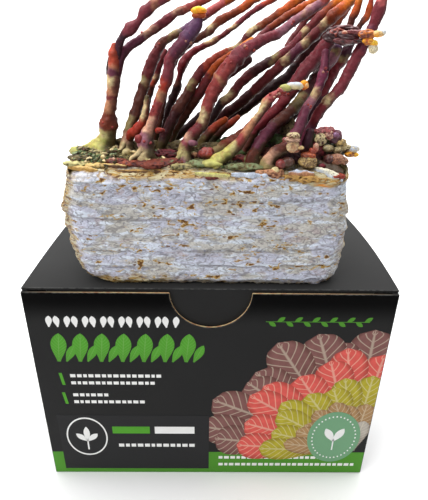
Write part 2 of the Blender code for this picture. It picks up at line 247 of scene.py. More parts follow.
def stations_along(points: Sequence[Place], spacing: float) -> Stations:
    """Even places along a smooth curve.

    Args:
        points: The curve's places, each with x, y, z and a radius.
        spacing: The distance from one place to the next.

    Returns:
        Each place with its distance from the start.
    """
    first = tuple(2 * a - b for a, b in zip(points[0], points[1]))
    last = tuple(2 * a - b for a, b in zip(points[-1], points[-2]))
    knots = [first, *points, last]
    fine = [
        blend_four(*four, step / CURVE_STEPS)
        for four in zip(knots, knots[1:], knots[2:], knots[3:])
        for step in range(CURVE_STEPS)
    ]
    fine.append(list(points[-1]))
    lengths = [0.0]
    for a, b in zip(fine, fine[1:]):
        lengths.append(lengths[-1] + math.dist(a[:3], b[:3]))
    rows = [(length, *place) for length, place in zip(lengths, fine)]
    radius = points[-1][3]
    body = max(lengths[-1] - TIP_SHARE * radius, spacing)
    count = max(4, round(body / spacing))
    targets = [body * index / count for index in range(count + 1)]
    return [(at, [between(rows, at, column) for column in (1, 2, 3, 4)]) for at in targets]


class Wiring:
    """Adds nodes to a shader tree and wires them up."""

    def __init__(self, tree: bpy.types.NodeTree) -> None:
        """Takes the tree to work in."""
        self.tree = tree

    def node(self, kind: str, inputs: dict | None = None, **settings) -> bpy.types.Node:
        """Adds one node.

        Args:
            kind: The node's type.
            inputs: Values or sockets for its inputs, by name or number.
            **settings: The node's own settings.

        Returns:
            The node.
        """
        made = self.tree.nodes.new(kind)
        for name, value in settings.items():
            setattr(made, name, value)
        for key, value in (inputs or {}).items():
            if isinstance(value, Socket):
                self.tree.links.new(value, made.inputs[key])
            else:
                made.inputs[key].default_value = value
        return made

    def math(self, operation: str, a: Input, b: Input = 0.5) -> Socket:
        """A Math node's output."""
        return self.node("ShaderNodeMath", {0: a, 1: b}, operation=operation).outputs[0]

    def times(self, a: Input, b: Input) -> Socket:
        """Two values multiplied."""
        return self.math("MULTIPLY", a, b)

    def step(self, value: Input, low: float, high: float, start: float = 0.0, end: float = 1.0) -> Socket:
        """A smooth step from start at low to end at high."""
        inputs = {"Value": value, "From Min": low, "From Max": high, "To Min": start, "To Max": end}
        return self.node("ShaderNodeMapRange", inputs, interpolation_type="SMOOTHSTEP").outputs["Result"]

    def mix(self, share: Input, a: Colour, b: Colour, blend: str = "MIX") -> Socket:
        """A colour between two, which may be sockets, tones or linear colours."""
        inputs = {0: share, 6: self.colour(a), 7: self.colour(b)}
        made = self.node("ShaderNodeMix", inputs, data_type="RGBA", blend_type=blend)
        return made.outputs[2]

    def add(self, base: Input, value: Input, share: float) -> Socket:
        """A base with a share of another value added."""
        return self.node("ShaderNodeMath", {0: value, 1: share, 2: base}, operation="MULTIPLY_ADD").outputs[0]

    def grey(self, value: Input) -> Socket:
        """A grey of a given brightness."""
        return self.node("ShaderNodeCombineColor", {0: value, 1: value, 2: value}).outputs[0]

    def noise(self, place: Socket, size: float, detail: float = 2.0, distortion: float = 0.0) -> Socket:
        """Noise with lumps of about this size, for places in millimetres."""
        inputs = {"Vector": place, "Scale": 1 / size, "Detail": detail, "Distortion": distortion}
        return self.node("ShaderNodeTexNoise", inputs).outputs["Fac"]

    def stretched(self, place: Socket, factors: Spot) -> Socket:
        """A place with each direction multiplied."""
        return self.node("ShaderNodeVectorMath", {0: place, 1: factors}, operation="MULTIPLY").outputs[0]

    def carried(self, name: str, output: str = "Fac") -> Socket:
        """A value or, as Color, a colour that the mesh's points carry."""
        return self.node("ShaderNodeAttribute", attribute_name=name).outputs[output]

    @staticmethod
    def colour(value: Colour) -> Socket | tuple:
        """What a colour input takes for a socket, a tone or a linear colour."""
        if isinstance(value, Tone):
            return (*value.linear(), 1)
        if isinstance(value, (Vector, tuple)):
            return (*value[:3], 1)
        return value


@dataclass(frozen=True)
class Effect:
    """A shader node group with one output, shared by the finishes."""

    name: str
    inputs: tuple[tuple[str, str, float], ...]
    output: str

    def start(self) -> tuple[Wiring, bpy.types.Node, bpy.types.Node]:
        """Makes the group.

        Returns:
            Its wiring, its input node and its output node.
        """
        tree = bpy.data.node_groups.new(self.name, "ShaderNodeTree")
        for name, kind, default in self.inputs:
            made = tree.interface.new_socket(name=name, in_out="INPUT", socket_type=kind)
            if kind == FLOAT:
                made.default_value = default
        tree.interface.new_socket(name=self.output, in_out="OUTPUT", socket_type=FLOAT)
        wiring = Wiring(tree)
        return wiring, wiring.node("NodeGroupInput"), wiring.node("NodeGroupOutput")


class Effects:
    """The shared effects, each built once."""

    def __init__(self) -> None:
        """Builds the groups."""
        self.mottle = self._mottle()
        self.specks = self._specks()
        self.wrinkles = self._wrinkles()

    @staticmethod
    def _mottle() -> bpy.types.NodeTree:
        """Cloudy brightness around 1, of a given size and strength."""
        inputs = (("Place", VECTOR, 0), ("Size", FLOAT, 3), ("Strength", FLOAT, 0.2))
        w, start, end = Effect("mottle", inputs, "Value").start()
        scale = w.math("DIVIDE", 1.0, start.outputs["Size"])
        place = start.outputs["Place"]
        clouds = w.node("ShaderNodeTexNoise", {"Vector": place, "Scale": scale, "Detail": 3.0})
        centred = w.math("SUBTRACT", clouds.outputs["Fac"], 0.5)
        spread = w.times(centred, start.outputs["Strength"])
        w.tree.links.new(w.add(1.0, spread, 2.0), end.inputs[0])
        return w.tree

    @staticmethod
    def _specks() -> bpy.types.NodeTree:
        """A mask of scattered ragged specks: a share of the cells of a given size hold one."""
        inputs = (("Place", VECTOR, 0), ("Size", FLOAT, 3), ("Share", FLOAT, 0.3))
        w, start, end = Effect("specks", inputs, "Mask").start()
        scale = w.math("DIVIDE", 1.0, start.outputs["Size"])
        place = start.outputs["Place"]
        warp = w.node("ShaderNodeTexNoise", {"Vector": place, "Scale": 1.3, "Detail": 2.0}).outputs["Color"]
        warped = w.node("ShaderNodeVectorMath", {0: warp, 1: place}, operation="ADD").outputs[0]
        cells = w.node("ShaderNodeTexVoronoi", {"Vector": warped, "Scale": scale})
        chosen = w.node("ShaderNodeSeparateColor", {0: cells.outputs["Color"]})
        held = w.math("LESS_THAN", chosen.outputs[0], start.outputs["Share"])
        reach = w.add(0.1, chosen.outputs[1], 0.3)
        near = w.math("SUBTRACT", reach, cells.outputs["Distance"])
        soft = w.step(near, 0.0, 0.12)
        w.tree.links.new(w.times(soft, held), end.inputs[0])
        return w.tree

    @staticmethod
    def _wrinkles() -> bpy.types.NodeTree:
        """A height of fine sharp-edged wrinkles of a given size."""
        inputs = (("Place", VECTOR, 0), ("Size", FLOAT, 1), ("Warp", FLOAT, 0.6))
        w, start, end = Effect("wrinkles", inputs, "Height").start()
        scale = w.math("DIVIDE", 1.0, start.outputs["Size"])
        place, warp = start.outputs["Place"], start.outputs["Warp"]
        settings = {"Vector": place, "Scale": scale, "Detail": 4.0, "Distortion": warp}
        folds = w.node("ShaderNodeTexNoise", settings, noise_type="RIDGED_MULTIFRACTAL")
        w.tree.links.new(folds.outputs["Fac"], end.inputs[0])
        return w.tree


class FinishShop:
    """Makes each finish's material once."""

    def __init__(self) -> None:
        """Builds the shared effects."""
        self.effects = Effects()
        self.made: dict[Finish, bpy.types.Material] = {}

    def material(self, finish: Finish) -> bpy.types.Material:
        """Gives a finish's material.

        Args:
            finish: The finish.

        Returns:
            Its material, made at the first call.
        """
        if finish not in self.made:
            makers = {
                Finish.LACQUER: LacquerFinish,
                Finish.YOUNG: YoungFinish,
                Finish.MYCELIUM: MyceliumFinish,
                Finish.LITTER: LitterFinish,
                Finish.BOARD: BoardFinish,
                Finish.INK: InkFinish,
            }
            material = bpy.data.materials.new(finish.value)
            material.use_nodes = True
            makers[finish]().wire(material, self.effects)
            self.made[finish] = material
        return self.made[finish]


@dataclass(frozen=True)
class BaseFinish:
    """What the finishes share: the wiring, a place in millimetres, and how the surface shines."""

    specular: float = 0.5
    coat: float = 0.0
    coat_roughness: float = 0.03

    def start(self, material: bpy.types.Material) -> tuple[Wiring, bpy.types.Node, Socket]:
        """Readies a material.

        Args:
            material: The material to wire.

        Returns:
            Its wiring, its shader and its place in millimetres.
        """
        w = Wiring(material.node_tree)
        shader = material.node_tree.nodes["Principled BSDF"]
        here = w.node("ShaderNodeTexCoord").outputs["Object"]
        return w, shader, w.stretched(here, (1 / MM, 1 / MM, 1 / MM))

    def effect(self, w: Wiring, group: bpy.types.NodeTree, place: Socket, *values: float) -> Socket:
        """Places a shared effect with its two values."""
        made = w.node("ShaderNodeGroup", node_tree=group)
        w.tree.links.new(place, made.inputs["Place"])
        for index, value in enumerate(values):
            made.inputs[index + 1].default_value = value
        return made.outputs[0]

    def dress(self, w: Wiring, shader: bpy.types.Node, colour: Socket, roughness: Input,
              height: Socket | None = None, depth: float = 0.3) -> None:
        """Wires colour, roughness and relief into the shader and sets its shine.

        Args:
            w: The wiring.
            shader: The shader.
            colour: The colour's socket.
            roughness: The roughness's socket or value.
            height: The relief's socket.
            depth: The relief's depth in millimetres.
        """
        w.tree.links.new(colour, shader.inputs["Base Color"])
        if isinstance(roughness, Socket):
            w.tree.links.new(roughness, shader.inputs["Roughness"])
        else:
            shader.inputs["Roughness"].default_value = roughness
        if height is not None:
            bump = w.node("ShaderNodeBump", {"Height": height, "Distance": depth * MM, "Strength": 1.0})
            w.tree.links.new(bump.outputs["Normal"], shader.inputs["Normal"])
        shader.inputs["Specular IOR Level"].default_value = self.specular
        shader.inputs["Coat Weight"].default_value = self.coat
        shader.inputs["Coat Roughness"].default_value = self.coat_roughness


@dataclass(frozen=True)
class LacquerFinish(BaseFinish):
    """The antlers' varnished skin: its own bands of colour, faint growth rings across it, rose flecks painted
    as small glints, and a soft coat.
    """

    ring_pitch: float = 1.9
    specular: float = 0.18
    coat: float = 0.06
    coat_roughness: float = 0.28

    def wire(self, material: bpy.types.Material, effects: Effects) -> None:
        """Wires the material."""
        w, shader, place = self.start(material)
        tone = w.carried("tone", "Color")
        along = w.carried("along")
        phase = w.math("ADD", along, w.times(w.noise(place, 3.0), 3.2))
        rings = w.math("SINE", w.times(phase, 2 * math.pi / self.ring_pitch))
        rings = w.times(rings, w.step(w.noise(place, 5.0), 0.4, 0.65))
        shade = w.times(self.effect(w, effects.mottle, place, 2.4, 0.42), w.add(0.97, rings, 0.05))
        shade = w.times(shade, self.effect(w, effects.mottle, place, 0.8, 0.26))
        colour = w.mix(1.0, tone, w.grey(shade), "MULTIPLY")
        # Rose flecks painted as small glints.
        glint_flecks = self.effect(w, effects.specks, place, 1.4, 0.14)
        colour = w.mix(w.times(glint_flecks, 0.22), colour, Tone.ROSE)
        rough = w.step(w.noise(place, 2.0, 3.0), 0.3, 0.75, 0.36, 0.62)
        height = w.add(w.times(w.noise(place, 0.9, 3.0), 0.8), rings, 0.12)
        self.dress(w, shader, colour, rough, height, 0.3)


@dataclass(frozen=True)
class YoungFinish(BaseFinish):
    """The young knobs' skin: warty, with painted highlight on pale crests and painted shade in its hollows.
    """

    coat: float = 0.25
    coat_roughness: float = 0.25

    def wire(self, material: bpy.types.Material, effects: Effects) -> None:
        """Wires the material."""
        w, shader, place = self.start(material)
        tone = w.carried("tone", "Color")
        shade = self.effect(w, effects.mottle, place, 1.2, 0.45)
        colour = w.mix(1.0, tone, w.grey(shade), "MULTIPLY")
        folds = self.effect(w, effects.wrinkles, place, 1.5, 0.9)
        # Painted shade in the hollows of the wrinkles.
        hollow_shade = w.step(folds, 0.04, 0.004)
        colour = w.mix(w.times(hollow_shade, 0.42), colour, Tone.MAROON_DARK)
        rough = w.step(w.noise(place, 1.5, 3.0), 0.3, 0.7, 0.3, 0.55)
        self.dress(w, shader, colour, rough, folds, 0.3)


@dataclass(frozen=True)
class MyceliumFinish(BaseFinish):
    """The block's skin: level streaks of lavender, stone and white, painted shade under the ledges and in the
    cracks and folds, painted highlights along the ledges' upper edges, ochre spots in rows.
    """

    specular: float = 0.3
    white: Spot = (224, 232, 244)
    lavender: Spot = (197, 199, 215)
    stone: Spot = (198, 195, 189)
    pink: Spot = (172, 154, 156)
    shadow: Spot = (112, 108, 110)
    speck: Spot = (92, 94, 122)
    spot: Spot = (196, 156, 80)
    core: Spot = (104, 66, 32)
    edge: Spot = (192, 182, 146)
    band: Spot = (168, 132, 68)
    brown: Spot = (98, 64, 28)

    def wire(self, material: bpy.types.Material, effects: Effects) -> None:
        """Wires the material."""
        w, shader, place = self.start(material)
        level = w.stretched(place, (0.45, 0.45, 1.0))
        flat = w.stretched(place, (0.22, 0.22, 1.0))
        patches = w.step(w.noise(level, 13.0, 2.0, 0.5), 0.46, 0.54)
        streaks = w.step(w.noise(flat, 3.2, 3.0, 0.5), 0.5, 0.62, 0.0, 0.85)
        blush = w.step(w.noise(level, 4.6, 4.0, 1.2), 0.55, 0.68, 0.0, 0.6)
        colour = w.mix(patches, linear(self.stone), linear(self.lavender))
        colour = self.veiled(w, colour, (streaks, self.white), (blush, self.pink))
        grain = self.effect(w, effects.mottle, w.stretched(place, (0.75, 0.75, 1.0)), 1.1, 0.52)
        colour = w.mix(1.0, colour, w.grey(grain), "MULTIPLY")
        folds = self.effect(w, effects.wrinkles, level, 3.0, 0.9)
        specks = self.effect(w, effects.specks, level, 1.5, 0.3)
        rows = w.step(w.noise(w.stretched(place, (0.35, 0.35, 1.3)), 8.0, 2.0), 0.49, 0.57)
        blots = w.noise(w.stretched(place, (0.55, 0.55, 1.0)), 2.8, 4.0, 0.5)
        halo, spot, core = (
            w.times(w.step(blots, low, high), rows) for low, high in ((0.52, 0.58), (0.56, 0.6), (0.6, 0.635))
        )
        grit = w.times(self.effect(w, effects.specks, level, 2.1, 0.2), rows)
        colour = self.veiled(
            w,
            colour,
            # Painted highlight along the ledges' upper edges, and painted shade under the ledges, in the
            # cracks and in the folds' hollows.
            (w.times(w.carried("lip_highlight"), 0.75), self.white),
            (w.times(w.carried("crease_shade"), 0.72), self.shadow),
            (w.step(folds, 0.02, 0.002, 0.0, 0.55), self.shadow),
            (w.times(specks, 0.6), self.speck),
            (w.times(halo, 0.6), self.edge),
            (spot, self.spot),
            (core, self.core),
            (w.times(grit, 0.9), self.core),
        )
        colour = w.mix(w.carried("ochre"), colour, self.stain(w, level, flat))
        rust = w.mix(w.step(w.noise(flat, 1.6, 3.0), 0.4, 0.6), Tone.ORANGE_STAIN, linear(self.edge))
        colour = w.mix(w.carried("rust"), colour, rust)
        colour = w.mix(w.carried("crust"), colour, self.crust(w, place))
        rough = w.step(w.noise(place, 2.0), 0.3, 0.7, 0.62, 0.86)
        height = w.add(w.noise(place, 0.8, 3.0), folds, 0.7)
        self.dress(w, shader, colour, rough, height, 0.6)

    @staticmethod
    def veiled(w: Wiring, colour: Colour, *veils: tuple[Socket, Spot]) -> Socket:
        """A colour under veils, each with its mask and its display colour."""
        for share, veil in veils:
            colour = w.mix(share, colour, linear(veil))
        return colour

    def stain(self, w: Wiring, level: Socket, flat: Socket) -> Socket:
        """The ochre of the rim and the edges, streaked with brown."""
        streaks = w.step(w.noise(flat, 1.4, 4.0, 0.6), 0.42, 0.58)
        blots = w.step(w.noise(level, 1.7, 4.0, 0.9), 0.51, 0.6)
        return self.veiled(w, linear(self.edge), (streaks, self.band), (blots, self.brown))

    @staticmethod
    def crust(w: Wiring, place: Socket) -> Socket:
        """The olive of the crust, with dark hollows."""
        top = w.mix(w.step(w.noise(place, 4.0, 4.0, 0.6), 0.4, 0.6), Tone.OLIVE, Tone.OLIVE_CREAM)
        return w.mix(w.step(w.noise(place, 1.8, 4.0, 0.8), 0.46, 0.6), top, Tone.OLIVE_DARK)


@dataclass(frozen=True)
class LitterFinish(BaseFinish):
    """Dry chips, mats and lumps of the crust."""

    specular: float = 0.35

    def wire(self, material: bpy.types.Material, effects: Effects) -> None:
        """Wires the material."""
        w, shader, place = self.start(material)
        tone = w.carried("tone", "Color")
        broad, fine = (self.effect(w, effects.mottle, place, size, 0.5) for size in (2.6, 0.7))
        shade = w.times(broad, fine)
        colour = w.mix(1.0, tone, w.grey(shade), "MULTIPLY")
        specks = self.effect(w, effects.specks, place, 1.3, 0.26)
        colour = w.mix(w.times(specks, 0.5), colour, Tone.OLIVE_DARK)
        folds = self.effect(w, effects.wrinkles, place, 1.5, 0.8)
        rough = w.step(w.noise(place, 1.5), 0.3, 0.7, 0.45, 0.8)
        self.dress(w, shader, colour, rough, folds, 0.4)


@dataclass(frozen=True)
class BoardFinish(BaseFinish):
    """Black printed board: a painted shadow under the lid's fold, a lighter top painted for the light that
    falls on it, grey at its folds from wear and painted sheen, cream where it is cut.
    """

    specular: float = 0.05
    # black: the painted shadow under the lid's fold; grey: the board itself.
    black: float = 0.0008
    grey: float = 0.022
    # top: the lid's top, painted lighter for the light that falls on it.
    top: float = 0.034
    # The grey of the folds, from wear and painted sheen.
    scuff_and_sheen: Spot = (0.16, 0.16, 0.155)
    front: float = FRONT
    shade_foot: float = 150.0
    shade_top: float = 172.0
    lid_low: float = 179.6
    lid_high: float = 180.1

    def wire(self, material: bpy.types.Material, effects: Effects) -> None:
        """Wires the material."""
        w, shader, place = self.start(material)
        _, y, z = w.node("ShaderNodeSeparateXYZ", {0: place}).outputs
        on_front = w.math("LESS_THAN", y, self.front + 0.3)
        # Painted shadow on the front, under the lid's fold.
        lid_shadow = w.times(on_front, w.step(z, self.shade_foot, self.shade_top))
        colour = w.mix(lid_shadow, (self.grey,) * 3, (self.black,) * 3)
        # Painted light: the lid's top is lighter than the front.
        colour = w.mix(w.step(z, self.lid_low, self.lid_high), colour, (self.top,) * 3)
        clouds = self.effect(w, effects.mottle, place, 30.0, 0.06)
        colour = w.mix(1.0, colour, w.grey(clouds), "MULTIPLY")
        # The folds go grey from wear and from a painted sheen.
        wear_and_sheen = w.times(w.carried("wear_and_sheen"), w.step(w.noise(place, 2.5, 3.0), 0.3, 0.7))
        colour = w.mix(w.times(wear_and_sheen, 0.35), colour, self.scuff_and_sheen)
        strands = w.noise(w.stretched(place, (0.2, 1, 1)), 0.8, 3.0)
        fibre = w.mix(w.step(strands, 0.4, 0.6), Tone.CREAM, Tone.TAN)
        colour = w.mix(w.carried("raw"), colour, fibre)
        self.dress(w, shader, colour, 0.6)


@dataclass(frozen=True)
class InkFinish(BaseFinish):
    """Printed colour: each leaf shaded from its foot to its tip, with a midrib and side veins."""

    specular: float = 0.08
    vein_pitch: float = 0.11

    def wire(self, material: bpy.types.Material, effects: Effects) -> None:
        """Wires the material."""
        w, shader, place = self.start(material)
        tone = w.carried("tone", "Color")
        up = w.carried("leaf_up")
        across = w.carried("leaf_across")
        veined = w.carried("veined")
        side = w.math("ABSOLUTE", across)
        slant = w.math("SUBTRACT", up, w.times(side, 0.22))
        wave = w.math("SINE", w.times(slant, 2 * math.pi / self.vein_pitch))
        veins = w.math("MAXIMUM", w.step(wave, 0.78, 0.98), w.step(side, 0.1, 0.02))
        veins = w.times(w.times(veins, veined), 0.32)
        low = w.times(w.step(up, 0.75, 0.0), veined)
        rim = w.times(w.step(side, 0.6, 1.0), veined)
        shade = w.math("MAXIMUM", w.times(low, 0.75), w.times(rim, 0.5))
        clouds = w.grey(self.effect(w, effects.mottle, place, 5.0, 0.25))
        soft = w.mix(veined, (1.0, 1.0, 1.0), clouds)
        colour = w.mix(1.0, tone, soft, "MULTIPLY")
        deep = w.mix(1.0, colour, (0.32, 0.24, 0.2), "MULTIPLY")
        colour = w.mix(shade, colour, deep)
        colour = w.mix(veins, colour, Tone.IVORY)
        self.dress(w, shader, colour, 0.55)


class Draft:
    """A piece in the making: a bmesh in millimetres whose points carry a colour and a few values."""

    def __init__(self, values: Iterable[str] = ()) -> None:
        """Starts empty.

        Args:
            values: Which of the values its points carry.
        """
        self.bm = bmesh.new()
        self.tone = self.bm.verts.layers.float_color.new("tone")
        self.values = {name: self.bm.verts.layers.float.new(name) for name in values}

    def tint(self, vert: bmesh.types.BMVert, colour: Vector) -> None:
        """Gives a point its colour."""
        vert[self.tone] = (*colour, 1)

    def finish(self, name: str, slot: Slot, material: bpy.types.Material, nodes: Sequence[str] = (),
               smooth: float | None = 180.0) -> None:
        """Makes the piece an object that rides on the body.

        Args:
            name: The piece's name.
            slot: The material slot; not used.
            material: Its material.
            nodes: The CAD nodes that it stands for.
            smooth: The angle in degrees past which an edge stays sharp, or None for flat faces.
        """
        bmesh.ops.recalc_face_normals(self.bm, faces=self.bm.faces)
        bmesh.ops.scale(self.bm, vec=(MM, MM, MM), verts=self.bm.verts)
        mesh = bpy.data.meshes.new(name)
        self.bm.to_mesh(mesh)
        self.bm.free()
        if smooth is not None:
            mesh.shade_smooth()
            if smooth < 180:
                mesh.set_sharp_from_angle(angle=math.radians(smooth))
        mesh.materials.append(material)
        piece = bpy.data.objects.new(name, mesh)
        bpy.context.scene.collection.objects.link(piece)
        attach(piece, BODY)
        if nodes:
            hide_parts(*nodes)
        LOG.info("%s: %d faces", name, len(mesh.polygons))


def add_ball(draft: Draft, centre: Spot, size: Spot, detail: int) -> list[bmesh.types.BMVert]:
    """Adds a ball drawn out to a size.

    Args:
        draft: The piece to add it to.
        centre: Its middle.
        size: Its size along each axis.
        detail: How finely it is divided.

    Returns:
        Its points.
    """
    verts = bmesh.ops.create_icosphere(draft.bm, subdivisions=detail, radius=1)["verts"]
    for vert in verts:
        vert.co = [c + s / 2 * n for c, s, n in zip(centre, size, vert.co)]
    return verts


@dataclass(frozen=True)
class Lobe:
    """One swelling of a growth: its low and high tones, painted as shade in its hollows and as light on its
    crests and top, and its skin.

    Lump is how far it swells, crinkle how deep its ridges are, grain their size, and drawn how much longer
    they are than wide. The value before drawn sets how much paler its top is painted, as light falling from
    above.
    """

    centre: Spot
    size: Spot
    low: Tone
    high: Tone
    lump: float = 0.2
    crinkle: float = 0.0
    grain: float = 2.2
    lit_top: float = 0.35
    drawn: float = 1.0


@dataclass(frozen=True)
class Stem:
    """One antler: its route with its thickness, its bands of colour, and what grows on it."""

    node: str
    # Each place: x, y, z and the radius.
    route: tuple[Place, ...]
    # Each band: the height where it ends, and its tone.
    bands: tuple[tuple[float, Tone], ...]
    # Each cluster: its share of the way up, its angle from the front and how many warts it has.
    warts: tuple[tuple[float, float, int], ...] = ()
    rooted: bool = True
    knuckle: float = 0.1
    # Each toe: its direction in degrees and its reach.
    toes: tuple[Spread, ...] = ()
    lobes: tuple[Lobe, ...] = ()


